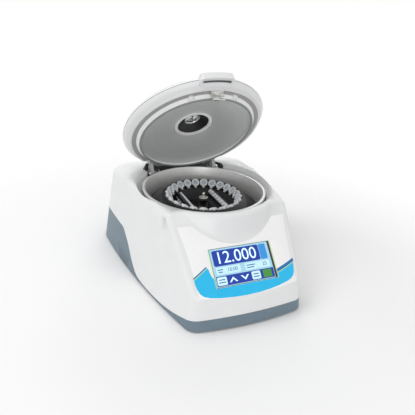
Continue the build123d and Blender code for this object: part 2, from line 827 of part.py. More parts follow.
with BuildPart() as display_board:
    with BuildSketch(panel_plane.offset(-WALL - DISPLAY_FRAME_T)):
        Rectangle(DISPLAY_W + 2 * DISPLAY_BOARD_LAP, DISPLAY_H + 2 * DISPLAY_BOARD_LAP)
    extrude(amount=-BOARD_T)
    with BuildSketch(panel_plane.offset(-WALL - DISPLAY_FRAME_T - BOARD_T)):
        with GridLocations(DISPLAY_W / 3, DISPLAY_H / 2, 3, 2):
            Rectangle(CHIP_W, CHIP_W)
    extrude(amount=-CHIP_T)
display_board.part.label = "display_board"
export_step(display_board.part, "parts/display_board.step")

# Rotor chamber
with BuildPart() as chamber_bowl:
    with BuildSketch(bowl_section) as half_bowl:
        with BuildLine():
            Polyline(
                (BOOT_HOLE_R, BOWL_FLOOR - BOWL_T),
                (BOWL_R + BOWL_T, BOWL_FLOOR - BOWL_T),
                (BOWL_R + BOWL_T, LIP_LOW_Z),
                (BOWL_LIP_R, LIP_LOW_Z),
                (BOWL_LIP_R, LIP_LOW_Z + BOWL_LIP_T),
                (BOWL_R, LIP_LOW_Z + BOWL_LIP_T),
                (BOWL_R, BOWL_FLOOR),
                (BOOT_HOLE_R, BOWL_FLOOR),
                close=True,
            )
        make_face()
        outer_corner = half_bowl.vertices().group_by(Axis.Y)[0].sort_by(Axis.X)[-1]
        fillet(outer_corner, BOWL_CORNER_R + BOWL_T)
        inner_corner = half_bowl.vertices().filter_by_position(
            Axis.Y, BOWL_FLOOR - BOWL_T / 2, BOWL_FLOOR + BOWL_T / 2
        )
        fillet(inner_corner.sort_by(Axis.X)[-1], BOWL_CORNER_R)
        fillet(half_bowl.vertices().group_by(Axis.Y)[-1], BOWL_LIP_ROUND)
    revolve(axis=bowl_axis)
chamber_bowl.part.label = "chamber_bowl"
export_step(chamber_bowl.part, "parts/chamber_bowl.step")

with BuildPart() as bowl_gasket:
    add(flat_ring(bowl_plane.offset(WELL_FLOOR), BOWL_LIP_R + GASKET_REACH, BOWL_HOLE_R, GASKET_T))
bowl_gasket.part.label = "bowl_gasket"
export_step(bowl_gasket.part, "parts/bowl_gasket.step")

with BuildPart() as shaft_boot:
    add(flat_ring(bowl_plane.offset(PLATE_TOP), BOOT_HOLE_R, BOOT_HOLE_R - BOOT_T, BOWL_FLOOR - PLATE_TOP))
shaft_boot.part.label = "shaft_boot"
export_step(shaft_boot.part, "parts/shaft_boot.step")

# Drive: plate on rubber dampers, motor can, stator and bearings
with BuildPart() as motor_plate:
    with BuildSketch(bowl_plane.offset(MOTOR_TOP)):
        Circle(MOTOR_PLATE_R)
        Circle(BEARING_R, mode=Mode.SUBTRACT)
        with PolarLocations(DAMPER_CIRCLE_R, DAMPER_COUNT, start_angle=DAMPER_START):
            Circle(SCREW_R, mode=Mode.SUBTRACT)
    extrude(amount=MOTOR_PLATE_T)
motor_plate.part.label = "motor_plate"
export_step(motor_plate.part, "parts/motor_plate.step")

with BuildPart() as rubber_dampers:
    with BuildSketch(bowl_plane.offset(DAMPER_BASE)):
        with PolarLocations(DAMPER_CIRCLE_R, DAMPER_COUNT, start_angle=DAMPER_START):
            Circle(DAMPER_R)
            Circle(SCREW_R, mode=Mode.SUBTRACT)
    extrude(amount=DAMPER_H)
rubber_dampers.part.label = "rubber_dampers"
export_step(rubber_dampers.part, "parts/rubber_dampers.step")

with BuildPart() as motor_screws:
    for damper in range(DAMPER_COUNT):
        bearing = math.radians(DAMPER_START + 360 / DAMPER_COUNT * damper)
        damper_x = DAMPER_CIRCLE_R * math.cos(bearing)
        damper_y = BOWL_Y + DAMPER_CIRCLE_R * math.sin(bearing)
        head = Plane(origin=(damper_x, damper_y, PLATE_TOP))
        add(pan_screw(head, MOTOR_PLATE_T + DAMPER_H + DAMPER_SCREW_BITE))
motor_screws.part.label = "motor_screws"
export_step(motor_screws.part, "parts/motor_screws.step")

with BuildPart() as motor_can:
    with BuildSketch(bowl_section):
        with BuildLine():
            holder_r = BEARING_R + MOTOR_WALL
            low_seat = MOTOR_BASE + MOTOR_WALL
            high_seat = MOTOR_TOP - BEARING_T
            Polyline(
                (0, MOTOR_BASE),
                (MOTOR_R, MOTOR_BASE),
                (MOTOR_R, MOTOR_TOP),
                (BEARING_R, MOTOR_TOP),
                (BEARING_R, high_seat),
                (holder_r, high_seat),
                (holder_r, MOTOR_TOP - MOTOR_WALL),
                (MOTOR_R - MOTOR_WALL, MOTOR_TOP - MOTOR_WALL),
                (MOTOR_R - MOTOR_WALL, low_seat),
                (holder_r, low_seat),
                (holder_r, low_seat + BEARING_T),
                (BEARING_R, low_seat + BEARING_T),
                (BEARING_R, low_seat),
                (0, low_seat),
                close=True,
            )
        make_face()
    revolve(axis=bowl_axis)
motor_can.part.label = "motor_can"
export_step(motor_can.part, "parts/motor_can.step")

with BuildPart() as motor_bearings:
    bore_r = SHAFT_R + RUNNING_GAP
    add(flat_ring(bowl_plane.offset(MOTOR_BASE + MOTOR_WALL), BEARING_R, bore_r, BEARING_T))
    add(flat_ring(bowl_plane.offset(MOTOR_TOP - BEARING_T), BEARING_R, bore_r, BEARING_T))
motor_bearings.part.label = "motor_bearings"
export_step(motor_bearings.part, "parts/motor_bearings.step")

with BuildPart() as motor_stator:
    add(flat_ring(bowl_plane.offset(STATOR_Z), MOTOR_R - MOTOR_WALL, ARMATURE_R + AIR_GAP, STATOR_H))
motor_stator.part.label = "motor_stator"
export_step(motor_stator.part, "parts/motor_stator.step")

with BuildPart() as motor_armature:
    add(flat_ring(bowl_plane.offset(STATOR_Z), ARMATURE_R, SHAFT_R, STATOR_H))
motor_armature.part.label = "motor_armature"
export_step(motor_armature.part, "parts/motor_armature.step")

with BuildPart() as motor_shaft:
    with BuildSketch(bowl_plane.offset(MOTOR_BASE + MOTOR_WALL + SHAFT_CLEAR)):
        Circle(SHAFT_R)
    extrude(amount=HUB_TOP_Z - MOTOR_BASE - MOTOR_WALL - SHAFT_CLEAR)
    with BuildSketch(bowl_plane.offset(HUB_TOP_Z)):
        Circle(STUD_R)
    extrude(amount=STUD_TOP - HUB_TOP_Z)
motor_shaft.part.label = "motor_shaft"
export_step(motor_shaft.part, "parts/motor_shaft.step")

# Rotor: turned body with two racks, round holes for tubes and for strips
with BuildPart() as tube_hole:
    with BuildSketch(seat_plane):
        Circle(TUBE_R + TUBE_HOLE_GAP)
    extrude(amount=-TUBE_LENGTH - TUBE_FLOOR_GAP)
    with BuildSketch(seat_plane):
        Circle(LIP_R + TUBE_HOLE_GAP)
    extrude(amount=LIP_T + CAP_T)

with BuildPart() as strip_racks:
    with BuildSketch(Plane.XZ):
        with BuildLine():
            rise = 1 / math.tan(tilt)
            Polyline(
                (STRIP_X - (STRIP_Z - ROTOR_DISH_Z) * rise, ROTOR_DISH_Z),
                (STRIP_X + (RACK_TOP_Z - STRIP_Z) * rise, RACK_TOP_Z),
                (RACK_BACK_X, RACK_TOP_Z),
                (RACK_BACK_X, ROTOR_DISH_Z),
                close=True,
            )
        make_face()
    extrude(amount=RACK_LENGTH / 2, both=True)
    mirror(about=Plane.YZ)

with BuildPart() as strip_holes:
    with BuildSketch(strip_plane):
        with GridLocations(STRIP_PITCH, 0, STRIP_COUNT, 1):
            Circle(STRIP_TUBE_R + TUBE_HOLE_GAP)
    extrude(amount=-STRIP_TUBE_L - TUBE_FLOOR_GAP)
    mirror(about=Plane.YZ)

with BuildPart(bowl_plane) as rotor:
    with BuildSketch(bowl_section):
        with BuildLine():
            Polyline(
                (SHAFT_R, HUB_LOW_Z),
                (HUB_R, HUB_LOW_Z),
                (HUB_R, ROTOR_WEB_Z),
                (ROTOR_WEB_R, ROTOR_WEB_Z),
                (ROTOR_SKIRT_R, ROTOR_UNDER_Z),
                (ROTOR_R - ROTOR_CHAMFER, ROTOR_UNDER_Z),
                (ROTOR_R, ROTOR_UNDER_Z + ROTOR_CHAMFER),
                (ROTOR_R, ROTOR_EDGE_Z),
                (ROTOR_RIM_R, ROTOR_RIM_Z),
                (ROTOR_RIM_R - RIM_LAND, ROTOR_RIM_Z),
                (INNER_CONE_R, ROTOR_DISH_Z),
                (HUB_TOP_R, ROTOR_DISH_Z),
                (HUB_TOP_R, HUB_TOP_Z),
                (SHAFT_R, HUB_TOP_Z),
                close=True,
            )
        make_face()
    revolve(axis=bowl_axis)
    add(strip_racks.part)
    add(strip_holes.part, mode=Mode.SUBTRACT)
    with PolarLocations(0, TUBE_COUNT, start_angle=180 / TUBE_COUNT):
        add(tube_hole.part, mode=Mode.SUBTRACT)
rotor.part.label = "rotor"
export_step(rotor.part, "parts/rotor.step")

# Samples: capped tubes in the ring of holes and a strip of eight in each rack
with BuildPart() as one_tube:
    bore = TUBE_R - TUBE_WALL
    add(
        turned(
            seat_section,
            Axis(seat_plane.origin, seat_plane.z_dir),
            [
                (0, -TUBE_LENGTH),
                (TUBE_TIP_R, -TUBE_LENGTH),
                (TUBE_R, -TUBE_STRAIGHT),
                (TUBE_R, 0),
                (LIP_R, 0),
                (LIP_R, LIP_T),
                (bore, LIP_T),
                (bore, -TUBE_STRAIGHT),
                (TUBE_TIP_R - TUBE_WALL, TUBE_WALL - TUBE_LENGTH),
                (0, TUBE_WALL - TUBE_LENGTH),
            ],
        )
    )

with BuildPart() as one_cap:
    with BuildSketch(seat_plane.offset(LIP_T)):
        Circle(LIP_R)
    extrude(amount=CAP_T)
    with BuildSketch(seat_plane.offset(LIP_T)):
        Rectangle(CAP_TAB_W, CAP_TAB_REACH, align=(Align.CENTER, Align.MIN))
    extrude(amount=CAP_TAB_T)

with BuildPart(bowl_plane) as sample_tubes:
    with PolarLocations(0, TUBE_COUNT, start_angle=180 / TUBE_COUNT):
        add(one_tube.part)
sample_tubes.part.label = "sample_tubes"
export_step(sample_tubes.part, "parts/sample_tubes.step")

with BuildPart(bowl_plane) as tube_caps:
    with PolarLocations(0, TUBE_COUNT, start_angle=180 / TUBE_COUNT):
        add(one_cap.part)
tube_caps.part.label = "tube_caps"
export_step(tube_caps.part, "parts/tube_caps.step")

with BuildPart() as one_strip:
    with BuildSketch(strip_plane):
        Rectangle(STRIP_BAR_L, STRIP_BAR_W)
    extrude(amount=STRIP_BAR_T)
    with BuildSketch(strip_plane.offset(STRIP_BAR_T)):
        with GridLocations(STRIP_PITCH, 0, STRIP_COUNT, 1):
            Circle(STRIP_CAP_R)
    extrude(amount=STRIP_CAP_T)
    with BuildSketch(strip_plane):
        with GridLocations(STRIP_PITCH, 0, STRIP_COUNT, 1):
            Circle(STRIP_TUBE_R)
    extrude(amount=-STRIP_TUBE_L)

with BuildPart(bowl_plane) as strip_tubes:
    add(one_strip.part)
    mirror(about=Plane.YZ)
strip_tubes.part.label = "strip_tubes"
export_step(strip_tubes.part, "parts/strip_tubes.step")

# Rotor nut and the washer under it
with BuildPart() as nut_washer:
    add(flat_ring(bowl_plane.offset(HUB_TOP_Z), WASHER_R, STUD_R + RUNNING_GAP, WASHER_T))
nut_washer.part.label = "nut_washer"
export_step(nut_washer.part, "parts/nut_washer.step")

with BuildPart() as rotor_nut:
    bore_top = NUT_DISC_Z + NUT_DISC_T - NUT_ROOF_T
    add(
        turned(
            bowl_section,
            bowl_axis,
            [
                (0, bore_top),
                (STUD_R + RUNNING_GAP, bore_top),
                (STUD_R + RUNNING_GAP, NUT_LOW),
                (NUT_BASE_R, NUT_LOW),
                (NUT_BASE_R, NUT_DISC_Z),
                (NUT_R, NUT_DISC_Z),
                (NUT_R, NUT_DISC_Z + NUT_DISC_T),
                (NUT_STEM_R, NUT_DISC_Z + NUT_DISC_T),
                (NUT_STEM_R, NUT_BALL_Z),
                (0, NUT_BALL_Z),
            ],
        )
    )
    with Locations((0, BOWL_Y, NUT_BALL_Z)):
        Sphere(NUT_BALL_R)
rotor_nut.part.label = "rotor_nut"
export_step(rotor_nut.part, "parts/rotor_nut.step")

# Hinge: a bracket, a pin and a coil spring on each side
with BuildPart() as hinge_brackets:
    with BuildSketch(Plane.XY.offset(RECESS_FLOOR)):
        with Locations((EAR_X, HINGE_Y)):
            Rectangle(BRACKET_W, 2 * EAR_R, align=(Align.MIN, Align.CENTER))
        with Locations((EAR_X, HINGE_Y + EAR_R)):
            Rectangle(BRACKET_TAIL_W, BRACKET_TAIL - EAR_R, align=(Align.MIN, Align.MIN))
        with Locations((EAR_X + BRACKET_TAIL_W / 2, HINGE_Y + BRACKET_SCREW_Y)):
            Circle(SCREW_R, mode=Mode.SUBTRACT)
    extrude(amount=BRACKET_T)
    for ear_x in (EAR_X, EAR_X + BRACKET_W - EAR_T):
        with BuildSketch(Plane.YZ.offset(ear_x)):
            with Locations((HINGE_Y, HINGE_Z)):
                Circle(EAR_R)
                Rectangle(2 * EAR_R, HINGE_Z - RECESS_FLOOR, align=(Align.CENTER, Align.MAX))
                Circle(PIN_R, mode=Mode.SUBTRACT)
        extrude(amount=EAR_T)
    mirror(about=Plane.YZ)
hinge_brackets.part.label = "hinge_brackets"
export_step(hinge_brackets.part, "parts/hinge_brackets.step")

with BuildPart() as hinge_pins:
    with BuildSketch(Plane.YZ.offset(PIN_INNER_X)):
        with Locations((HINGE_Y, HINGE_Z)):
            Circle(PIN_R)
    extrude(amount=PIN_OUTER_X - PIN_INNER_X)
    mirror(about=Plane.YZ)
hinge_pins.part.label = "hinge_pins"
export_step(hinge_pins.part, "parts/hinge_pins.step")

with BuildPart() as hinge_springs:
    coil_r = PIN_R + SPRING_GAP + SPRING_WIRE_R
    coil_x = EAR_X + EAR_T
    with BuildSketch(Plane.YZ.offset(coil_x)):
        with Locations((HINGE_Y, HINGE_Z)):
            Circle(coil_r + SPRING_WIRE_R)
            Circle(coil_r - SPRING_WIRE_R, mode=Mode.SUBTRACT)
    extrude(amount=SPRING_LENGTH)
    with BuildSketch(Plane.XY.offset(RECESS_FLOOR + BRACKET_T)):
        with Locations((coil_x + SPRING_LENGTH / 2, HINGE_Y + coil_r)):
            Circle(SPRING_LEG_R)
    extrude(amount=HINGE_Z - RECESS_FLOOR - BRACKET_T)
    mirror(about=Plane.YZ)
hinge_springs.part.label = "hinge_springs"
export_step(hinge_springs.part, "parts/hinge_springs.step")

with BuildPart() as bracket_screws:
    for side in (-1, 1):
        screw_x = side * (EAR_X + BRACKET_TAIL_W / 2)
        head = Plane(origin=(screw_x, HINGE_Y + BRACKET_SCREW_Y, RECESS_FLOOR + BRACKET_T))
        add(pan_screw(head, BRACKET_T))
bracket_screws.part.label = "bracket_screws"
export_step(bracket_screws.part, "parts/bracket_screws.step")

# Lid: shell, plate, ring, seal and dish
with BuildPart() as lid_shell:
    add(lid_form(0))
    add(lid_form(WALL), mode=Mode.SUBTRACT)
    with BuildSketch(lid_plane.offset(LID_TOP - 2 * WALL)):
        Circle(WINDOW_R)
    extrude(amount=LID_TOP, mode=Mode.SUBTRACT)
lid_shell.part.label = "lid_shell"
export_step(lid_shell.part, "parts/lid_shell.step")

with BuildPart() as lid_plate:
    with BuildSketch(lid_plane.offset(LID_BASE)):
        Circle(LID_LIP_R - WALL)
        Circle(RING_R, mode=Mode.SUBTRACT)
    extrude(amount=PLATE_T)
    add(lid_form(WALL), mode=Mode.INTERSECT)
lid_plate.part.label = "lid_plate"
export_step(lid_plate.part, "parts/lid_plate.step")

with BuildPart() as lid_ring:
    plate_top = LID_BASE + PLATE_T
    add(
        turned(
            lid_section,
            lid_axis,
            [
                (RING_INNER_R, LID_BASE - RING_DROP),
                (RING_FOOT_R, LID_BASE - RING_DROP),
                (RING_R, LID_BASE),
                (RING_R, plate_top),
                (RING_FLANGE_R, plate_top),
                (RING_FLANGE_R, plate_top + RING_FLANGE_T),
                (RING_INNER_R, plate_top + RING_FLANGE_T),
            ],
        )
    )
    with BuildSketch(lid_plane.offset(LID_BASE)):
        with Locations((-STUD_BOSS_X, -STUD_BOSS_FORWARD), (STUD_BOSS_X, -STUD_BOSS_FORWARD)):
            Circle(STUD_BOSS_R)
    extrude(amount=-RING_DROP)
    with BuildSketch(lid_plane):
        Circle(RING_INNER_R)
    extrude(amount=LID_TOP, mode=Mode.SUBTRACT)
    with BuildSketch(lid_plane.offset(LID_BASE - RING_DROP)):
        with Locations((-STUD_BOSS_X, -STUD_BOSS_FORWARD), (STUD_BOSS_X, -STUD_BOSS_FORWARD)):
            Circle(STUD_BOSS_HOLE_R)
    extrude(amount=RING_DROP - 1, mode=Mode.SUBTRACT)
    add(lid_shell.part, mode=Mode.SUBTRACT)
lid_ring.part.label = "lid_ring"
export_step(lid_ring.part, "parts/lid_ring.step")

with BuildPart() as lid_seal:
    add(flat_ring(lid_plane.offset(SEAL_LOW), SEAL_R, SEAL_INNER_R, SEAL_T))
lid_seal.part.label = "lid_seal"
export_step(lid_seal.part, "parts/lid_seal.step")

with BuildPart() as lid_dish:
    with BuildSketch(lid_section):
        with BuildLine():
            under = ThreePointArc((RING_INNER_R, DISH_LOW), DISH_MID, (DISH_HOLE_R, DISH_HIGH))
            over = ThreePointArc(
                (RING_INNER_R, DISH_LOW + DISH_T),
                (DISH_MID[0], DISH_MID[1] + DISH_T),
                (DISH_HOLE_R, DISH_HIGH + DISH_T),
            )
            Line(under @ 0, over @ 0)
            Line(under @ 1, over @ 1)
        make_face()
    revolve(axis=lid_axis)
lid_dish.part.label = "lid_dish"
export_step(lid_dish.part, "parts/lid_dish.step")

# Sight window in the middle of the lid
with BuildPart() as dish_grommet:
    add(flat_ring(lid_plane.offset(GROMMET_LOW), DISH_HOLE_R, DISH_HOLE_R - GROMMET_T, GROMMET_H))
dish_grommet.part.label = "dish_grommet"
export_step(dish_grommet.part, "parts/dish_grommet.step")

with BuildPart() as eye_cup:
    add(flat_ring(lid_plane.offset(CUP_LOW), DISH_HOLE_R - GROMMET_T, EYE_R, CUP_T))
    add(flat_ring(lid_plane.offset(CUP_LOW), EYE_R + CUP_T, EYE_R, LID_TOP - WALL - CUP_LOW))
    add(lid_form(WALL), mode=Mode.INTERSECT)
eye_cup.part.label = "eye_cup"
export_step(eye_cup.part, "parts/eye_cup.step")

with BuildPart() as window_ring:
    add(flat_ring(lid_plane.offset(WINDOW_RING_Z), EYE_R, EYE_R - WINDOW_RING_T, WINDOW_RING_H))
window_ring.part.label = "window_ring"
export_step(window_ring.part, "parts/window_ring.step")

with BuildPart() as sight_window:
    with BuildSketch(lid_plane.offset(LID_TOP - 2 * WALL)):
        Circle(WINDOW_R)
    extrude(amount=2 * WALL)
    add(lid_form(0), mode=Mode.INTERSECT)
    with BuildSketch(lid_plane.offset(LID_TOP - WALL)):
        Circle(WINDOW_R)
    extrude(amount=-WALL, mode=Mode.SUBTRACT)
sight_window.part.label = "sight_window"
export_step(sight_window.part, "parts/sight_window.step")

# Handle, hinge arms and striker of the lid
with BuildPart() as lid_handle:
    with BuildSketch(lid_plane.offset(HANDLE_LOW)) as grip:
        Circle(HANDLE_R)
        with Locations((0, -HANDLE_R)):
            Rectangle(2 * HANDLE_HALF, 2 * HANDLE_DEPTH, mode=Mode.INTERSECT)
        fillet(grip.vertices().filter_by_position(Axis.Y, -HANDLE_R, -LID_R), HANDLE_CORNER_R)
    extrude(amount=HANDLE_T)
    add(lid_form(0), mode=Mode.SUBTRACT)
    with BuildSketch(lid_plane.offset(HANDLE_LOW)):
        Circle(GROOVE_R)
        Circle(GROOVE_R - GROOVE_W, mode=Mode.SUBTRACT)
        with Locations((0, -HANDLE_R)):
            Rectangle(2 * GROOVE_HALF, 2 * HANDLE_DEPTH, mode=Mode.INTERSECT)
    extrude(amount=GROOVE_DEPTH, mode=Mode.SUBTRACT)
lid_handle.part.label = "lid_handle"
export_step(lid_handle.part, "parts/lid_handle.step")

with BuildPart() as hinge_arms:
    with BuildSketch(hinge_side.offset(LUG_X)):
        with BuildLine():
            Polyline(
                (-LUG_R, 0), (-LUG_REACH, LID_BASE), (LUG_BACK, LID_BASE), (LUG_R, 0), close=True
            )
        make_face()
        Circle(LUG_R)
        Circle(PIN_R + RUNNING_GAP, mode=Mode.SUBTRACT)
    extrude(amount=LUG_W)
    mirror(about=Plane.YZ)
hinge_arms.part.label = "hinge_arms"
export_step(hinge_arms.part, "parts/hinge_arms.step")

with BuildPart() as lid_striker:
    bolt_low = BOLT_Z - HINGE_Z
    with BuildSketch(lid_section.offset(STRIKER_FORWARD - STRIKER_T / 2)) as blade:
        with Locations((STRIKER_X, LID_BASE)):
            Rectangle(STRIKER_W, STRIKER_DROP, align=(Align.CENTER, Align.MAX))
        fillet(blade.vertices().group_by(Axis.Y)[0], STRIKER_CORNER_R)
        with Locations((STRIKER_X + STRIKER_W / 2, bolt_low - NOTCH_GAP)):
            Rectangle(
                NOTCH_DEPTH, BOLT_H + 2 * NOTCH_GAP, align=(Align.MAX, Align.MIN), mode=Mode.SUBTRACT
            )
    extrude(amount=STRIKER_T)
    with BuildSketch(lid_plane.offset(LID_BASE)):
        with Locations((STRIKER_X, -STRIKER_FORWARD)):
            Rectangle(STRIKER_W, STRIKER_FOOT_W)
    extrude(amount=-STRIKER_FOOT_T)
lid_striker.part.label = "lid_striker"
export_step(lid_striker.part, "parts/lid_striker.step")

# Lock: a flat bolt on the ledge, its guide, and a solenoid under the ledge
with BuildPart() as lock_bolt:
    with BuildSketch(Plane.XY.offset(BOLT_Z)):
        with Locations((BOLT_TIP_X, STRIKER_Y)):
            Rectangle(BOLT_LENGTH, BOLT_T, align=(Align.MIN, Align.CENTER))
    extrude(amount=BOLT_H)
    with BuildSketch(Plane.XY.offset(PLUNGER_Z)):
        with Locations((LEG_X, STRIKER_Y)):
            Rectangle(LEG_W, BOLT_T, align=(Align.MIN, Align.CENTER))
    extrude(amount=BOLT_Z - PLUNGER_Z)
    with BuildSketch(Plane.YZ.offset(LEG_X)):
        with Locations((STRIKER_Y, PLUNGER_Z)):
            Circle(PLUNGER_R)
    extrude(amount=PLUNGER_L)
lock_bolt.part.label = "lock_bolt"
export_step(lock_bolt.part, "parts/lock_bolt.step")

with BuildPart() as lock_guide:
    inner_top = BOLT_Z + BOLT_H + LOCK_GAP
    with BuildSketch(Plane.YZ.offset(GUIDE_X)):
        with Locations((STRIKER_Y, WELL_FLOOR)):
            Rectangle(
                2 * (BOLT_SLOT_HALF + GUIDE_WALL),
                inner_top + GUIDE_TOP_T - WELL_FLOOR,
                align=(Align.CENTER, Align.MIN),
            )
            Rectangle(
                2 * BOLT_SLOT_HALF,
                inner_top - WELL_FLOOR,
                align=(Align.CENTER, Align.MIN),
                mode=Mode.SUBTRACT,
            )
    extrude(amount=GUIDE_L)
lock_guide.part.label = "lock_guide"
export_step(lock_guide.part, "parts/lock_guide.step")

with BuildPart() as lock_solenoid:
    with BuildSketch(Plane.YZ.offset(SOLENOID_X)):
        with Locations((STRIKER_Y, PLUNGER_Z)):
            Rectangle(SOLENOID_W, SOLENOID_H)
            Circle(PLUNGER_R + LOCK_GAP, mode=Mode.SUBTRACT)
    extrude(amount=SOLENOID_L)
    with BuildSketch(Plane.XY.offset(PLUNGER_Z + SOLENOID_H / 2)):
        with Locations((SOLENOID_X, STRIKER_Y + SOLENOID_W / 2)):
            Rectangle(SOLENOID_TAB_L, SOLENOID_TAB_W, align=(Align.MIN, Align.MAX))
    extrude(amount=WELL_FLOOR - WALL - PLUNGER_Z - SOLENOID_H / 2)
lock_solenoid.part.label = "lock_solenoid"
export_step(lock_solenoid.part, "parts/lock_solenoid.step")

# Electronics on the tray
with BuildPart() as main_board:
    with BuildSketch(Plane.XY.offset(BOARD_Z)):
        with Locations((0, BOARD_Y)):
            Rectangle(BOARD_W, BOARD_D)
    extrude(amount=BOARD_T)
main_board.part.label = "main_board"
export_step(main_board.part, "parts/main_board.step")

with BuildPart() as board_standoffs:
    with BuildSketch(Plane.XY.offset(TRAY_TOP)):
        with Locations((0, BOARD_Y)):
            with GridLocations(BOARD_W - 2 * STANDOFF_INSET, BOARD_D - 2 * STANDOFF_INSET, 2, 2):
                Circle(STANDOFF_R)
    extrude(amount=BOARD_Z - TRAY_TOP)
board_standoffs.part.label = "board_standoffs"
export_step(board_standoffs.part, "parts/board_standoffs.step")

with BuildPart() as transformer:
    with BuildSketch(Plane.XY.offset(BOARD_TOP)):
        with Locations((TRANSFORMER_X, BOARD_Y)):
            Rectangle(TRANSFORMER[0], TRANSFORMER[1])
    extrude(amount=TRANSFORMER[2])
transformer.part.label = "transformer"
export_step(transformer.part, "parts/transformer.step")

with BuildPart() as heat_sink:
    with BuildSketch(Plane.XY.offset(BOARD_TOP)):
        with Locations((HEAT_SINK_X, BOARD_Y)):
            Rectangle(HEAT_SINK_W, FIN_T)
            with GridLocations((HEAT_SINK_W - FIN_T) / (FIN_COUNT - 1), 0, FIN_COUNT, 1):
                Rectangle(FIN_T, FIN_DEPTH)
    extrude(amount=HEAT_SINK_H)
heat_sink.part.label = "heat_sink"
export_step(heat_sink.part, "parts/heat_sink.step")

with BuildPart() as capacitors:
    with BuildSketch(Plane.XY.offset(BOARD_TOP)):
        with Locations((CAPACITOR_X, CAPACITOR_Y)):
            with GridLocations(CAPACITOR_PITCH, 0, CAPACITOR_COUNT, 1):
                Circle(CAPACITOR_R)
    extrude(amount=CAPACITOR_H)
capacitors.part.label = "capacitors"
export_step(capacitors.part, "parts/capacitors.step")

# Mains inlet and power switch
with BuildPart() as mains_inlet:
    with BuildSketch(rear_plane):
        with Locations((INLET_X, REAR_Z)):
            Rectangle(INLET_W + 2 * FLANGE_RIM, INLET_H + 2 * FLANGE_RIM)
    extrude(amount=-FLANGE_T)
    with BuildSketch(rear_plane):
        with Locations((INLET_X, REAR_Z)):
            Rectangle(INLET_W, INLET_H)
    extrude(amount=INLET_DEPTH)
    with BuildSketch(rear_plane.offset(-FLANGE_T)):
        with Locations((INLET_X, REAR_Z)):
            Rectangle(INLET_W - 2 * INLET_WALL, INLET_H - 2 * INLET_WALL)
    extrude(amount=INLET_SOCKET, mode=Mode.SUBTRACT)
    with BuildSketch(rear_plane.offset(INLET_SOCKET - FLANGE_T)):
        with Locations(
            (INLET_X - INLET_PIN_PITCH, REAR_Z),
            (INLET_X, REAR_Z + INLET_EARTH_RISE),
            (INLET_X + INLET_PIN_PITCH, REAR_Z),
        ):
            Rectangle(INLET_PIN[0], INLET_PIN[1])
    extrude(amount=-INLET_PIN[2])
mains_inlet.part.label = "mains_inlet"
export_step(mains_inlet.part, "parts/mains_inlet.step")

with BuildPart() as switch_frame:
    with BuildSketch(rear_plane):
        with Locations((SWITCH_X, REAR_Z)):
            Rectangle(SWITCH_W + FLANGE_RIM, SWITCH_H + FLANGE_RIM)
    extrude(amount=-FLANGE_T)
    with BuildSketch(rear_plane):
        with Locations((SWITCH_X, REAR_Z)):
            Rectangle(SWITCH_W, SWITCH_H)
    extrude(amount=SWITCH_DEPTH)
    with BuildSketch(rear_plane.offset(-FLANGE_T)):
        with Locations((SWITCH_X, REAR_Z)):
            Rectangle(ROCKER_W + 2 * ROCKER_GAP, 2 * (ROCKER_R + ROCKER_GAP))
    extrude(amount=FLANGE_T + ROCKER_PIVOT + ROCKER_BACK + ROCKER_WELL, mode=Mode.SUBTRACT)
    trunnion_x = SWITCH_X - ROCKER_W / 2 - ROCKER_GAP - TRUNNION_L
    with BuildSketch(Plane.YZ.offset(trunnion_x)):
        with Locations((ROCKER_Y, REAR_Z)):
            Circle(TRUNNION_R + RUNNING_GAP)
    extrude(amount=ROCKER_W + 2 * ROCKER_GAP + 2 * TRUNNION_L, mode=Mode.SUBTRACT)
switch_frame.part.label = "switch_frame"
export_step(switch_frame.part, "parts/switch_frame.step")

with BuildPart() as switch_rocker:
    rocked = math.radians(ROCKER_TILT)
    rocker_side = Plane(
        origin=(SWITCH_X - ROCKER_W / 2, ROCKER_Y, REAR_Z),
        x_dir=(0, math.cos(rocked), math.sin(rocked)),
        z_dir=(1, 0, 0),
    )
    with BuildSketch(rocker_side):
        with BuildLine():
            face_z = math.sqrt(ROCKER_R**2 - ROCKER_FACE**2)
            back_z = math.sqrt(ROCKER_R**2 - ROCKER_BACK**2)
            Polyline((ROCKER_FACE, -face_z), (ROCKER_DISH, 0), (ROCKER_FACE, face_z))
            ThreePointArc((ROCKER_FACE, face_z), (0, ROCKER_R), (-ROCKER_BACK, back_z))
            Line((-ROCKER_BACK, back_z), (-ROCKER_BACK, -back_z))
            ThreePointArc((-ROCKER_BACK, -back_z), (0, -ROCKER_R), (ROCKER_FACE, -face_z))
        make_face()
    extrude(amount=ROCKER_W)
    with BuildSketch(rocker_side.offset(-ROCKER_GAP - TRUNNION_L + RUNNING_GAP)):
        Circle(TRUNNION_R)
    extrude(amount=ROCKER_W + 2 * (ROCKER_GAP + TRUNNION_L - RUNNING_GAP))
switch_rocker.part.label = "switch_rocker"
export_step(switch_rocker.part, "parts/switch_rocker.step")
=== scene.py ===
"""Benchtop microcentrifuge: the visual model over its CAD frame, laid out as an add-on.

Sizes are millimetres in each piece's own frame and become metres when the piece is placed.
"""

import math

import bmesh
import bpy
from bpy.props import FloatProperty, FloatVectorProperty, IntProperty, PointerProperty, StringProperty
from mathutils import Matrix, Vector


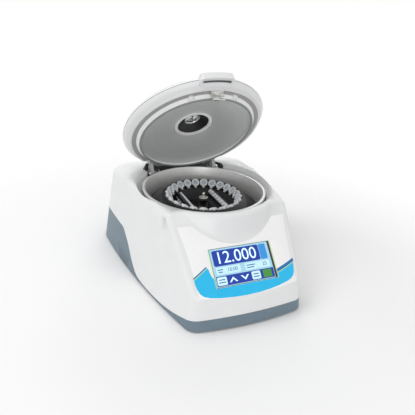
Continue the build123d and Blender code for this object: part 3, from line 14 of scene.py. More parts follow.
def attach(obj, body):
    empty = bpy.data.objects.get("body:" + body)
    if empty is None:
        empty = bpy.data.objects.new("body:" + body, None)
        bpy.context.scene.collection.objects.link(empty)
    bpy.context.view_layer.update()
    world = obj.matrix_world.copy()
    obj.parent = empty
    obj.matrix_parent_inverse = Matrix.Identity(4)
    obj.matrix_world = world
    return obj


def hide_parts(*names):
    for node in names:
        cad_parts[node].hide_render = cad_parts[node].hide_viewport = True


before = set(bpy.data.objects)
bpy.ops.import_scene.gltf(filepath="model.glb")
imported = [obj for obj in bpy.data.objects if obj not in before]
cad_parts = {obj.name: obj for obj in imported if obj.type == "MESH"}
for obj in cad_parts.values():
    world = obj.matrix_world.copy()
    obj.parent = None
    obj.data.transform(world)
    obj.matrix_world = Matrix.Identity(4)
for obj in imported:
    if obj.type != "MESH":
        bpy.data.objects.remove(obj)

bl_info = {
    "name": "Microcentrifuge",
    "version": (1, 0, 0),
    "blender": (4, 5, 0),
    "location": "View3D > Sidebar > Microcentrifuge",
    "description": "Builds a benchtop microcentrifuge with an open lid over its CAD frame",
    "category": "Add Mesh",
}

MM = 0.001
SMOOTH = math.radians(32)
SPIN_STEPS = 160
AXIS_R = 1e-6
WELD = 0.00001
CORNER_SHARE = 0.45

BOWL_Y = 4.5
PANEL_ORIGIN = (0, -145.6, 74.2)
PANEL_RUN, PANEL_RISE = 0.6947, 0.7193
LID_ORIGIN = (0, 39.683, 193.937)
LID_RUN, LID_RISE = 0.63877, 0.7694


def placed(origin, x_axis, y_axis, z_axis):
    """Matrix from a local frame in millimetres to the row frame in metres."""
    turn = Matrix((x_axis, y_axis, z_axis)).transposed().to_4x4()
    return Matrix.Translation(Vector(origin) * MM) @ turn @ Matrix.Scale(MM, 4)


WORLD = placed((0, 0, 0), (1, 0, 0), (0, 1, 0), (0, 0, 1))
BOWL = placed((0, BOWL_Y, 0), (1, 0, 0), (0, 1, 0), (0, 0, 1))
PANEL = placed(PANEL_ORIGIN, (1, 0, 0), (0, PANEL_RUN, PANEL_RISE), (0, -PANEL_RISE, PANEL_RUN))
LID = placed(LID_ORIGIN, (1, 0, 0), (0, LID_RUN, -LID_RISE), (0, LID_RISE, LID_RUN))


# Materials


PLASTIC_IOR = 1.46
COAT_ROUGHNESS = 0.08


def add_node(tree, kind, **values):
    """A node with its inputs set by name."""
    made = tree.nodes.new(kind)
    for key, value in values.items():
        made.inputs[key.replace("_", " ")].default_value = value
    return made


def ramp(tree, source, low, high):
    """Colour from a 0 to 1 value, between two colours."""
    made = tree.nodes.new("ShaderNodeValToRGB")
    made.color_ramp.elements[0].position = 0.3
    made.color_ramp.elements[1].position = 0.7
    made.color_ramp.elements[0].color = (*low, 1)
    made.color_ramp.elements[1].color = (*high, 1)
    tree.links.new(source, made.inputs["Fac"])
    return made.outputs["Color"]


def local_place(tree, stretch, about):
    """Object coordinates, stretched, or about a piece's own frame."""
    coordinates = tree.nodes.new("ShaderNodeTexCoord")
    mapping = tree.nodes.new("ShaderNodeMapping")
    tree.links.new(coordinates.outputs["Object"], mapping.inputs["Vector"])
    if about is not None:
        mapping.vector_type = "TEXTURE"
        mapping.inputs["Location"].default_value = about.to_translation()
        mapping.inputs["Rotation"].default_value = about.to_euler()
    else:
        mapping.inputs["Scale"].default_value = stretch
    return mapping.outputs["Vector"]


def finish(name, colour, spread=0.04, rough=(0.3, 0.42), metal=0.0, grain=90.0, relief=0.00002,
           relief_scale=900.0, stretch=(1, 1, 1), about=None, coat=0.0, clear=0.0, glow=0.0):
    """A principled material whose colour, roughness and relief vary with grain in the surface.

    With about, the grain runs in rings round that frame's Z axis, as on turned metal.
    """
    made = bpy.data.materials.new(name)
    made.use_nodes = True
    tree = made.node_tree
    shader = tree.nodes["Principled BSDF"]
    place = local_place(tree, stretch, about)
    if about is not None:
        flat = add_node(tree, "ShaderNodeVectorMath")
        flat.operation = "MULTIPLY"
        flat.inputs[1].default_value = (1, 1, 0)
        tree.links.new(place, flat.inputs[0])
        length = add_node(tree, "ShaderNodeVectorMath")
        length.operation = "LENGTH"
        tree.links.new(flat.outputs["Vector"], length.inputs[0])
        rings = tree.nodes.new("ShaderNodeCombineXYZ")
        split = tree.nodes.new("ShaderNodeSeparateXYZ")
        tree.links.new(place, split.inputs["Vector"])
        tree.links.new(length.outputs["Value"], rings.inputs["X"])
        tree.links.new(split.outputs["Z"], rings.inputs["Y"])
        place = rings.outputs["Vector"]
    broad = add_node(tree, "ShaderNodeTexNoise", Scale=grain, Detail=4.0, Roughness=0.55)
    tree.links.new(place, broad.inputs["Vector"])
    low = [max(0.0, part * (1 - spread)) for part in colour]
    high = [min(1.0, part * (1 + spread)) for part in colour]
    tint = ramp(tree, broad.outputs["Fac"], low, high)
    tree.links.new(tint, shader.inputs["Base Color"])
    sheen = add_node(tree, "ShaderNodeMapRange")
    sheen.inputs["To Min"].default_value = rough[0]
    sheen.inputs["To Max"].default_value = rough[1]
    tree.links.new(broad.outputs["Fac"], sheen.inputs["Value"])
    tree.links.new(sheen.outputs["Result"], shader.inputs["Roughness"])
    fine = add_node(tree, "ShaderNodeTexNoise", Scale=relief_scale, Detail=3.0, Roughness=0.6)
    tree.links.new(place, fine.inputs["Vector"])
    bump = add_node(tree, "ShaderNodeBump", Strength=0.6, Distance=relief)
    tree.links.new(fine.outputs["Fac"], bump.inputs["Height"])
    tree.links.new(bump.outputs["Normal"], shader.inputs["Normal"])
    shader.inputs["Metallic"].default_value = metal
    shader.inputs["IOR"].default_value = PLASTIC_IOR
    shader.inputs["Coat Weight"].default_value = coat
    shader.inputs["Coat Roughness"].default_value = COAT_ROUGHNESS
    shader.inputs["Transmission Weight"].default_value = clear
    if glow:
        tree.links.new(tint, shader.inputs["Emission Color"])
        shader.inputs["Emission Strength"].default_value = glow
    return made


def fade_out(made, near, far):
    """Lets a material go clear between two distances from the origin, so a floor has no edge."""
    tree = made.node_tree
    place = tree.nodes.new("ShaderNodeTexCoord")
    length = add_node(tree, "ShaderNodeVectorMath")
    length.operation = "LENGTH"
    tree.links.new(place.outputs["Object"], length.inputs[0])
    share = add_node(tree, "ShaderNodeMapRange", From_Min=near, From_Max=far)
    share.interpolation_type = "SMOOTHSTEP"
    tree.links.new(length.outputs["Value"], share.inputs["Value"])
    clear = tree.nodes.new("ShaderNodeBsdfTransparent")
    mix = tree.nodes.new("ShaderNodeMixShader")
    tree.links.new(share.outputs["Result"], mix.inputs["Fac"])
    tree.links.new(tree.nodes["Principled BSDF"].outputs["BSDF"], mix.inputs[1])
    tree.links.new(clear.outputs["BSDF"], mix.inputs[2])
    tree.links.new(mix.outputs["Shader"], tree.nodes["Material Output"].inputs["Surface"])


# Meshes


def piece(name, mesh, material, body, place=None, stands_for=()):
    """Makes a placed, smoothed piece of a mesh and ties it to its CAD body."""
    if place is not None:
        mesh.transform(place)
    mesh.name = name
    mesh.materials.clear()
    for each in material if isinstance(material, (list, tuple)) else [material]:
        mesh.materials.append(each)
    mesh.shade_smooth()
    mesh.set_sharp_from_angle(angle=SMOOTH)
    made = bpy.data.objects.new(name, mesh)
    bpy.context.scene.collection.objects.link(made)
    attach(made, body)
    if stands_for:
        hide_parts(*stands_for)
    return made


def recolour(made, index, chosen):
    """Gives the faces whose middle and normal pass a test another of the piece's materials."""
    for face in made.data.polygons:
        if chosen(face.center / MM, face.normal):
            face.material_index = index


def mesh_of(work):
    """A plain mesh of a bmesh, with its faces turned outward."""
    bmesh.ops.recalc_face_normals(work, faces=work.faces)
    mesh = bpy.data.meshes.new("work")
    work.to_mesh(mesh)
    work.free()
    return mesh


def joined_copy(node):
    """A copy of a CAD node's mesh with its loose triangles joined up."""
    work = bmesh.new()
    work.from_mesh(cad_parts[node].data)
    bmesh.ops.remove_doubles(work, verts=work.verts, dist=0.000002)
    return mesh_of(work)


def rounded_section(points, radius):
    """Closed half section with each corner off the axis cut into a small round."""
    out = []
    count = len(points)
    for index, point in enumerate(points):
        corner = Vector(point)
        if radius <= 0 or corner.x < AXIS_R:
            out.append(corner)
            continue
        before = Vector(points[index - 1]) - corner
        after = Vector(points[(index + 1) % count]) - corner
        reach = min(radius, before.length * CORNER_SHARE, after.length * CORNER_SHARE)
        start = corner + before.normalized() * reach
        end = corner + after.normalized() * reach
        for step in range(4):
            share = step / 3
            out.append(start * (1 - share) ** 2 + corner * 2 * share * (1 - share) + end * share**2)
    return out


def lathe(points, radius=0.0, steps=SPIN_STEPS, ripple=None):
    """Closed solid of revolution about Z from a half section of (radius, height) corners."""
    section = rounded_section(points, radius)
    work = bmesh.new()
    rows = []
    for step in range(steps):
        angle = 2 * math.pi * step / steps
        row = []
        for corner in section:
            reach = corner.x if ripple is None else ripple(corner.x, corner.y, angle)
            row.append(work.verts.new((reach * math.cos(angle), reach * math.sin(angle), corner.y)))
        rows.append(row)
    for step, row in enumerate(rows):
        following = rows[(step + 1) % steps]
        for index in range(len(section)):
            other = (index + 1) % len(section)
            if section[index].x < AXIS_R and section[other].x < AXIS_R:
                continue
            work.faces.new((row[index], row[other], following[other], following[index]))
    bmesh.ops.remove_doubles(work, verts=work.verts, dist=WELD)
    bmesh.ops.dissolve_degenerate(work, edges=work.edges, dist=WELD)
    return mesh_of(work)


def arc_band(section, start, end, steps):
    """Closed solid swept round Z from one angle to another, in degrees."""
    work = bmesh.new()
    span = end - start
    rows = []
    for step in range(steps + 1):
        angle = math.radians(start + span * step / steps)
        rows.append([work.verts.new((r * math.cos(angle), r * math.sin(angle), z)) for r, z in section])
    count = len(section)
    for row, following in zip(rows, rows[1:]):
        for index in range(count):
            other = (index + 1) % count
            work.faces.new((row[index], row[other], following[other], following[index]))
    work.faces.new(rows[0])
    work.faces.new(reversed(rows[-1]))
    return mesh_of(work)


def flat_shape(loops, low, high, bevel=0.0):
    """Closed flat piece from outlines in its plane; inner outlines become holes."""
    curve = bpy.data.curves.new("outline", "CURVE")
    curve.dimensions = "2D"
    curve.fill_mode = "BOTH"
    curve.extrude = (high - low) / 2 - bevel
    curve.bevel_depth = bevel
    curve.bevel_resolution = 2
    curve.offset = -bevel
    for loop in loops:
        spline = curve.splines.new("POLY")
        spline.points.add(len(loop) - 1)
        for point, (x, y) in zip(spline.points, loop):
            point.co = (x, y, 0, 1)
        spline.use_cyclic_u = True
    return curve_mesh(curve, (low + high) / 2)


def curve_mesh(curve, height):
    """The closed mesh of a curve or text, moved to its height."""
    holder = bpy.data.objects.new("outline", curve)
    bpy.context.scene.collection.objects.link(holder)
    graph = bpy.context.evaluated_depsgraph_get()
    mesh = bpy.data.meshes.new_from_object(holder.evaluated_get(graph))
    bpy.data.objects.remove(holder)
    work = bmesh.new()
    work.from_mesh(mesh)
    bmesh.ops.remove_doubles(work, verts=work.verts, dist=0.0005)
    bmesh.ops.translate(work, verts=work.verts, vec=(0, 0, height))
    return mesh_of(work)


def figures(text, size, x, y, low, high):
    """Plain figures as a closed mesh with their middle at x, y."""
    curve = bpy.data.curves.new("figures", "FONT")
    curve.body = text
    curve.size = size
    curve.align_x = "CENTER"
    curve.align_y = "CENTER"
    curve.extrude = (high - low) / 2
    curve.resolution_u = 6
    mesh = curve_mesh(curve, (low + high) / 2)
    mesh.transform(Matrix.Translation((x, y, 0)))
    return mesh


def rounded_box(x, y, width, height, radius, steps=6):
    """Outline of a rectangle with round corners about its middle."""
    out = []
    for corner, (side_x, side_y) in enumerate(((1, 1), (-1, 1), (-1, -1), (1, -1))):
        middle_x = x + side_x * (width / 2 - radius)
        middle_y = y + side_y * (height / 2 - radius)
        for step in range(steps + 1):
            angle = math.pi / 2 * (corner + step / steps)
            out.append((middle_x + radius * math.cos(angle), middle_y + radius * math.sin(angle)))
    return out


def merged(meshes):
    """One mesh from several."""
    work = bmesh.new()
    for mesh in meshes:
        work.from_mesh(mesh)
    return mesh_of(work)


# Repeats


def repeat_tree():
    """Geometry node tree that sets copies of a part at even steps or turns."""
    tree = bpy.data.node_groups.get("even_repeat")
    if tree:
        return tree
    tree = bpy.data.node_groups.new("even_repeat", "GeometryNodeTree")
    tree.interface.new_socket("Geometry", in_out="OUTPUT", socket_type="NodeSocketGeometry")
    for name, kind in (
        ("Part", "NodeSocketObject"),
        ("Count", "NodeSocketInt"),
        ("Start", "NodeSocketVector"),
        ("Step", "NodeSocketVector"),
        ("First turn", "NodeSocketFloat"),
        ("Turn", "NodeSocketFloat"),
        ("Material", "NodeSocketMaterial"),
    ):
        tree.interface.new_socket(name, in_out="INPUT", socket_type=kind)
    given = tree.nodes.new("NodeGroupInput")
    result = tree.nodes.new("NodeGroupOutput")
    link = tree.links.new
    index = tree.nodes.new("GeometryNodeInputIndex")
    along = tree.nodes.new("ShaderNodeVectorMath")
    along.operation = "SCALE"
    link(given.outputs["Step"], along.inputs[0])
    link(index.outputs[0], along.inputs["Scale"])
    spot = tree.nodes.new("ShaderNodeVectorMath")
    spot.operation = "ADD"
    link(given.outputs["Start"], spot.inputs[0])
    link(along.outputs[0], spot.inputs[1])
    angle = tree.nodes.new("ShaderNodeMath")
    angle.operation = "MULTIPLY_ADD"
    link(index.outputs[0], angle.inputs[0])
    link(given.outputs["Turn"], angle.inputs[1])
    link(given.outputs["First turn"], angle.inputs[2])
    turn = tree.nodes.new("ShaderNodeCombineXYZ")
    link(angle.outputs[0], turn.inputs["Z"])
    points = tree.nodes.new("GeometryNodePoints")
    link(given.outputs["Count"], points.inputs["Count"])
    link(spot.outputs[0], points.inputs["Position"])
    part = tree.nodes.new("GeometryNodeObjectInfo")
    link(given.outputs["Part"], part.inputs["Object"])
    copies = tree.nodes.new("GeometryNodeInstanceOnPoints")
    link(points.outputs[0], copies.inputs["Points"])
    link(part.outputs["Geometry"], copies.inputs["Instance"])
    link(turn.outputs[0], copies.inputs["Rotation"])
    real = tree.nodes.new("GeometryNodeRealizeInstances")
    link(copies.outputs[0], real.inputs[0])
    painted = tree.nodes.new("GeometryNodeSetMaterial")
    link(real.outputs[0], painted.inputs["Geometry"])
    link(given.outputs["Material"], painted.inputs["Material"])
    link(painted.outputs[0], result.inputs[0])
    return tree


def repeated(mesh, material, count, start=(0, 0, 0), step=(0, 0, 0), first=0.0, turn=0.0):
    """Plain mesh of even copies of a mesh, made by the repeat tree."""
    tree = repeat_tree()
    part = bpy.data.objects.new("one_part", mesh)
    host = bpy.data.objects.new("repeat_host", bpy.data.meshes.new("host"))
    bpy.context.scene.collection.objects.link(part)
    bpy.context.scene.collection.objects.link(host)
    modifier = host.modifiers.new("repeat", "NODES")
    modifier.node_group = tree
    values = {
        "Part": part, "Count": count, "Start": start, "Step": step,
        "First turn": first, "Turn": turn, "Material": material,
    }
    for item in tree.interface.items_tree:
        if item.in_out == "INPUT":
            modifier[item.identifier] = values[item.name]
    graph = bpy.context.evaluated_depsgraph_get()
    made = bpy.data.meshes.new_from_object(host.evaluated_get(graph))
    host.modifiers.remove(modifier)
    bpy.data.objects.remove(host)
    bpy.data.objects.remove(part)
    return made


# Sizes and colours


def colour_prop(name, text, default):
    """A colour that the sidebar shows as a swatch."""
    return FloatVectorProperty(name=name, description=text, default=default, size=3, subtype="COLOR",
                               min=0, max=1)


def length_prop(name, text, default):
    """A length in metres."""
    return FloatProperty(name=name, description=text, default=default, unit="LENGTH")


class CasingSettings(bpy.types.PropertyGroup):
    """Housing and tray."""

    shell: colour_prop("Shell", "Colour of the upper housing and the lid", (0.83, 0.835, 0.84))
    tray: colour_prop("Tray", "Colour of the base tray", (0.155, 0.215, 0.262))
    # The recess colour is painted shade: near-black laid on the white housing's hinge pocket, where shade
    # falls.
    recess: colour_prop("Recess", "Colour inside the hinge recess", (0.016, 0.026, 0.024))
    grain: length_prop("Grain", "Depth of the moulded grain", 0.00002)


class PanelSettings(bpy.types.PropertyGroup):
    """Printed overlay and display."""

    film: colour_prop("Film", "Colour of the overlay film", (0.95, 0.95, 0.95))
    field: colour_prop("Field", "Colour of the printed lower field", (0.012, 0.53, 0.90))
    stripe: colour_prop("Stripe", "Colour of the stripes over the field", (0.008, 0.17, 0.46))
    edge_line: colour_prop("Edge line", "Colour of the thin lines beside the display", (0.55, 0.83, 0.35))
    reading: StringProperty(name="Reading", description="Plain number on the display", default="12.000")
    print_height: length_prop("Print height", "Height of the print over the film", 0.00006)


class BowlSettings(bpy.types.PropertyGroup):
    """Rotor chamber."""

    steel: colour_prop("Steel", "Colour of the bowl's steel", (0.78, 0.78, 0.77))
    lip_round: length_prop("Lip round", "Radius of the bowl's rolled lip", 0.001)


class RotorSettings(bpy.types.PropertyGroup):
    """Rotor, nut and samples."""

    black: colour_prop("Black", "Colour of the anodised rotor", (0.010, 0.010, 0.011))
    tube_count: IntProperty(name="Tubes", description="Sample tubes in the ring", default=24, min=1)
    strip_count: IntProperty(name="Strip tubes", description="Tubes in each strip", default=8, min=1)
    knurls: IntProperty(name="Knurls", description="Number of knurls round the nut", default=40, min=8)


class LidSettings(bpy.types.PropertyGroup):
    """Lid and its fittings."""

    liner: colour_prop("Liner", "Colour of the plate under the lid", (0.36, 0.36, 0.36))
    ring: colour_prop("Ring", "Colour of the raised ring", (0.92, 0.92, 0.92))
    dish: colour_prop("Dish", "Colour of the polished dish", (0.72, 0.74, 0.73))
    edge_round: length_prop("Edge round", "Radius of the small edges", 0.0004)


class FittingSettings(bpy.types.PropertyGroup):
    """Hinge, lock, feet and the parts inside."""

    screw_head: length_prop("Screw head", "Radius of the screw heads", 0.0038)
    coil_turns: IntProperty(name="Coil turns", description="Turns of each hinge spring", default=4, min=1)


class StudioSettings(bpy.types.PropertyGroup):
    """Floor, lamps and camera."""

    key: FloatProperty(name="Key lamp", description="Power of the main lamp in watts", default=9.5)
    fill: FloatProperty(name="Fill", description="Strength of the even light all round", default=0.62)
    lens: FloatProperty(name="Lens", description="Focal length in millimetres", default=38.58)


# Pieces


def bent_line(start, end, bow, steps):
    """Points from start to end with the middle pushed out sideways by bow."""
    first, last = Vector(start), Vector(end)
    along = last - first
    side = Vector((along.y, -along.x)).normalized()
    out = []
    for step in range(steps + 1):
        share = step / steps
        point = first + along * share + side * bow * 4 * share * (1 - share)
        out.append((point.x, point.y))
    return out


COLLAR_R = 117.0
COLLAR_TOP = 134.0
COLLAR_FLARE = math.tan(math.radians(14))
FILM_MARGIN = 3.0
FILM_TOP = 62.0
FILM_FOOT = -36.0
FILM_HALF_TOP = 82.5
FILM_HALF_FOOT = 73.0
FILM_BOW = -2.0
FILM_SAG = 6.0


def collar_line(margin, top):
    """Where the collar, widened by margin, meets the panel, from right to left up to a height."""

    def clear_of(u, v):
        height = PANEL_ORIGIN[2] + PANEL_RISE * v
        reach = COLLAR_R + margin + (COLLAR_TOP - height) * COLLAR_FLARE
        return math.hypot(u, PANEL_ORIGIN[1] - BOWL_Y + PANEL_RUN * v) - reach

    out = []
    for step in range(-40, 41):
        u = -step / 40 * 75.0
        low, high = -60.0, 110.0
        for _ in range(40):
            middle = (low + high) / 2
            if clear_of(u, middle) > 0:
                low = middle
            else:
                high = middle
        if low < top:
            out.append((u, low))
    return out


def film_outline():
    """Outline of the printed film: bowed sides, a sagging foot and the collar's line at the top."""
    left = bent_line((-FILM_HALF_TOP, FILM_TOP), (-FILM_HALF_FOOT, FILM_FOOT), FILM_BOW, 14)
    across = [FILM_HALF_FOOT * step / 20 for step in range(-19, 20)]
    bottom = [(x, FILM_FOOT - FILM_SAG * (1 - (x / FILM_HALF_FOOT) ** 2)) for x in across]
    right = bent_line((FILM_HALF_FOOT, FILM_FOOT), (FILM_HALF_TOP, FILM_TOP), FILM_BOW, 14)
    return left + bottom + right + collar_line(FILM_MARGIN, FILM_TOP)


def field_outline():
    """The printed lower field: a wavy top that leaves the display's left side clear."""
    wave = [(-75.2, -9.0), (-70, -6.2), (-64, -2.6), (-58, 0.8), (-54.5, 2.6), (-52.4, 1.0),
            (-51.6, -3.4), (-50.4, -8.4), (-48.6, -12.0), (-46.6, -14.2), (-46.3, -26.6), (46.3, -26.6),
            (46.3, -17.6), (52, -15.6), (60, -12.8), (68, -9.8), (76.4, -6.2)]
    outer = [(74.6, -16.0), (73.2, -22.0), (70.6, -27.2), (66.0, -30.9), (60.0, -33.4), (46.0, -36.8),
             (30, -39.4), (13, -41.0), (-8, -41.4), (-26, -40.6), (-45, -38.8), (-58, -36.4), (-66.0, -33.6),
             (-70.6, -29.4), (-73.2, -23.6), (-74.6, -16.4)]
    return wave + outer


def band(points, thickness):
    """Outline of a band that hangs under a line."""
    return points + lowered(reversed(points), thickness)


LEFT_WAVE = [(-75.4, -7.6), (-70, -4.8), (-64, -1.2), (-58, 2.4), (-54.6, 4.4)]
RIGHT_WAVE = [(46.4, -15.2), (52, -13.2), (60, -10.4), (68, -7.4), (76.8, -3.6)]
LEFT_STRIPE, RIGHT_STRIPE = 2.0, 4.6
FILM_T = 0.5
PRINT_LOW = 0.44


def lowered(points, drop):
    """A line moved down."""
    return [(x, y - drop) for x, y in points]


HEAD_R = 3.8


def pan_head():
    """Screw head with a domed top and a cross recess, standing on its plane."""
    head = lathe([(0, 0), (HEAD_R, 0), (HEAD_R, 1.1), (3.3, 1.8), (2.2, 2.15), (0, 2.2)], steps=32)
    slots = [rounded_box(0, 0, 4.0, 0.9, 0.2, 2), rounded_box(0, 0, 0.9, 4.0, 0.2, 2)]
    return cut(head, merged([flat_shape([slot], 1.2, 3.0) for slot in slots]))


def cut(mesh, tool):
    """The mesh with the tool's shape taken out of it."""
    body = bpy.data.objects.new("cut_body", mesh)
    cutter = bpy.data.objects.new("cutter", tool)
    bpy.context.scene.collection.objects.link(body)
    bpy.context.scene.collection.objects.link(cutter)
    modifier = body.modifiers.new("cut", "BOOLEAN")
    modifier.operation = "DIFFERENCE"
    modifier.solver = "EXACT"
    modifier.use_self = True
    modifier.object = cutter
    graph = bpy.context.evaluated_depsgraph_get()
    made = bpy.data.meshes.new_from_object(body.evaluated_get(graph))
    bpy.data.objects.remove(body)
    bpy.data.objects.remove(cutter)
    return made


def paint(node, material):
    """Gives a CAD node its material."""
    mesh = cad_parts[node].data
    mesh.materials.clear()
    mesh.materials.append(material)


RECESS_FRONT, RECESS_BACK, RECESS_FLOOR = 71.0, 139.6, 102.6
HINGE_Y = 101.9
DECK_Y = 40.5
DECK_FALL = 0.0787


def in_shaded_hinge_recess(middle, normal):
    """True for the floor and walls of the pocket behind the chamber, which are given painted shade."""
    x, y, z = middle
    half_width = 68.2 + 8.0 * max(0.0, 1 - abs(y - HINGE_Y) / 32.0)
    rim = COLLAR_TOP - (y - DECK_Y) * DECK_FALL - 0.4
    inside = abs(x) < half_width and RECESS_FRONT < y < RECESS_BACK and RECESS_FLOOR < z < rim
    flat_or_upright = normal.z > 0.5 or abs(normal.z) < 0.3
    return inside and flat_or_upright and math.hypot(x, y - BOWL_Y) > 98.0


class BuildCasing(bpy.types.Operator):
    """Upper housing and base tray"""

    bl_idname = "microfuge.casing"
    bl_label = "Housing and tray"

    def execute(self, context):
        sizes = context.scene.microfuge_casing
        shell = finish("shell_white", sizes.shell, 0.012, (0.27, 0.36), grain=40, relief=sizes.grain,
                       coat=0.12)
        tray = finish("tray_blue_grey", sizes.tray, 0.04, (0.34, 0.45), grain=60, relief=sizes.grain * 1.5)
        recess = finish("recess_painted_shade", sizes.recess, 0.15, (0.45, 0.6), grain=80, relief=sizes.grain)
        body = piece("housing_shell", joined_copy("upper_housing"), [shell, recess], "housing",
                     stands_for=["upper_housing"])
        # Painted shade: the hinge pocket's floor and walls take the near-black recess colour.
        recolour(body, 1, in_shaded_hinge_recess)
        piece("tray_body", joined_copy("base_tray"), tray, "housing",
              stands_for=["base_tray"])
        return {"FINISHED"}


class BuildPanel(bpy.types.Operator):
    """Printed overlay on the sloped panel"""

    bl_idname = "microfuge.panel"
    bl_label = "Printed overlay"

    def execute(self, context):
        sizes = context.scene.microfuge_panel
        lift = sizes.print_height / MM
        window = rounded_box(0, 0, 92.6, 52.6, 1.0)
        film = finish("film_white", sizes.film, 0.01, (0.22, 0.3), grain=120, relief=0.000008, coat=0.35)
        piece("overlay_film", flat_shape([film_outline(), window], 0.0, FILM_T, 0.12), film, "housing",
              PANEL, ["panel_overlay"])

        def ink(name, colour, spread):
            return finish(name, colour, spread, (0.25, 0.32), grain=70, relief=0.000006, coat=0.1)

        side_line = [rounded_box(side * 47.0, 0, 0.9, 53.0, 0.2) for side in (-1, 1)]
        prints = (
            ("printed_field", ink("print_cyan", sizes.field, 0.03), [field_outline()]),
            ("printed_stripes", ink("print_blue", sizes.stripe, 0.05),
             [band(LEFT_WAVE, LEFT_STRIPE), band(RIGHT_WAVE, RIGHT_STRIPE)]),
            ("printed_lines", ink("print_green", sizes.edge_line, 0.05),
             [band(lowered(LEFT_WAVE, LEFT_STRIPE), 1.3), band(lowered(RIGHT_WAVE, RIGHT_STRIPE), 1.2)]
             + side_line),
        )
        for layer, (name, colour, outlines) in enumerate(prints, 1):
            layers = [flat_shape([outline], PRINT_LOW, FILM_T + layer * lift) for outline in outlines]
            piece(name, merged(layers), colour, "housing", PANEL)
        return {"FINISHED"}


LIT_BASE = 0.42
SHEET_TOP, BLOCK_TOP, KEY_TOP, FIGURE_TOP, SIGN_TOP = 0.54, 0.58, 0.64, 0.66, 0.70
BLOCKS = (
    ("lit_pale", (0.36, 0.62, 0.76), 0.2, SHEET_TOP, [(-1.6, 0, 88.6, 51.2, 0.8)]),
    ("lit_navy", (0.002, 0.04, 0.36), 0.1, BLOCK_TOP,
     [(-7.8, 12.6, 70.4, 21.4, 2.6), (-1.2, -18.0, 86.6, 13.2, 0.6)]),
    ("lit_blue", (0.03, 0.27, 0.68), 0.2, BLOCK_TOP, [(33.4, 12.6, 10.6, 21.4, 1.8)]),
    ("lit_box", (0.50, 0.76, 0.88), 0.3, BLOCK_TOP,
     [(-24.0, -4.5, 36.0, 9.6, 1.0), (20.0, -4.5, 38.0, 9.6, 1.0)]),
    ("lit_key", (0.52, 0.74, 0.86), 0.4, KEY_TOP,
     [(-36.6, -18.0, 14.0, 11.0, 1.8), (14.4, -18.0, 13.4, 11.0, 1.8)]),
    ("lit_green", (0.05, 0.25, 0.04), 0.2, KEY_TOP, [(31.8, -18.0, 13.4, 11.0, 1.8)]),
)
ARROW_UP = [(-26.4, -21.2), (-20.2, -14.6), (-14.0, -21.2), (-16.6, -21.2), (-20.2, -17.4), (-23.8, -21.2)]
ARROW_DOWN = [(3.6, -14.8), (-2.6, -21.4), (-8.8, -14.8), (-6.2, -14.8), (-2.6, -18.6), (1.0, -14.8)]
BOX_DASHES = [(-36.0, -3.0, 8.0), (-36.0, -6.2, 6.0), (10.0, -3.0, 13.0), (9.0, -6.2, 11.0)]
KEY_DASHES = [(-36.6, -16.2, 9.0), (-36.6, -19.8, 10.0), (14.4, -16.2, 8.0), (14.4, -19.8, 9.0)]


def lit(name, colour, glow):
    """A lit finish of the display."""
    return finish(name, colour, 0.05, (0.3, 0.4), grain=900, relief=0.000003, coat=0.15, glow=glow)


def dashes(places, thickness, top):
    """Short dashes, each with its middle and its length."""
    return [flat_shape([rounded_box(x, y, length, thickness, 0.3, 2)], LIT_BASE, top)
            for x, y, length in places]


class BuildDisplay(bpy.types.Operator):
    """Glass of the display with its lit blocks, figures and keys"""

    bl_idname = "microfuge.display"
    bl_label = "Display"

    def execute(self, context):
        sizes = context.scene.microfuge_panel
        glass = finish("glass_black", (0.004, 0.005, 0.006), 0.2, (0.04, 0.08), grain=30, relief=0.000002,
                       coat=0.6)
        slab = flat_shape([rounded_box(0, 0, 92, 52, 1.2)], -3.0, FILM_T, 0.25)
        piece("display_pane", slab, glass, "housing", PANEL, ["display_glass"])

        def show(name, colour, glow, meshes):
            piece("display_" + name, merged(meshes), lit(name, colour, glow), "housing",
                  PANEL)

        for name, colour, glow, top, boxes in BLOCKS:
            show(name, colour, glow, [flat_shape([rounded_box(*box)], LIT_BASE, top) for box in boxes])
        reading = figures(sizes.reading, 23.0, -8.4, 12.2, LIT_BASE, FIGURE_TOP)
        arrows = [flat_shape([arrow], LIT_BASE, FIGURE_TOP) for arrow in (ARROW_UP, ARROW_DOWN)]
        show("lit_white", (0.62, 0.84, 0.95), 0.55, [reading] + arrows)
        small = [figures("10:00", 7.0, -18.0, -4.6, LIT_BASE, KEY_TOP),
                 figures("25", 7.0, 31.0, -4.6, LIT_BASE, KEY_TOP)]
        small += dashes(BOX_DASHES, 1.2, KEY_TOP) + dashes(KEY_DASHES, 1.3, SIGN_TOP)
        show("lit_small", (0.02, 0.12, 0.32), 0.05, small)
        return {"FINISHED"}


BOWL_R = 94.1
BOWL_FLOOR = 60.0
BOWL_TOP = 127.7
BOWL_WALL = 1.2
BOWL_CORNER = 14.0
BOWL_LIP_R = 98.5


def bowl_corner(extra, angles):
    """Points round the bowl's lower corner, moved out by the wall."""
    reach = BOWL_CORNER + extra
    middle = BOWL_R - BOWL_CORNER
    return [(middle + reach * math.sin(math.radians(a)),
             BOWL_FLOOR + BOWL_CORNER - reach * math.cos(math.radians(a))) for a in angles]


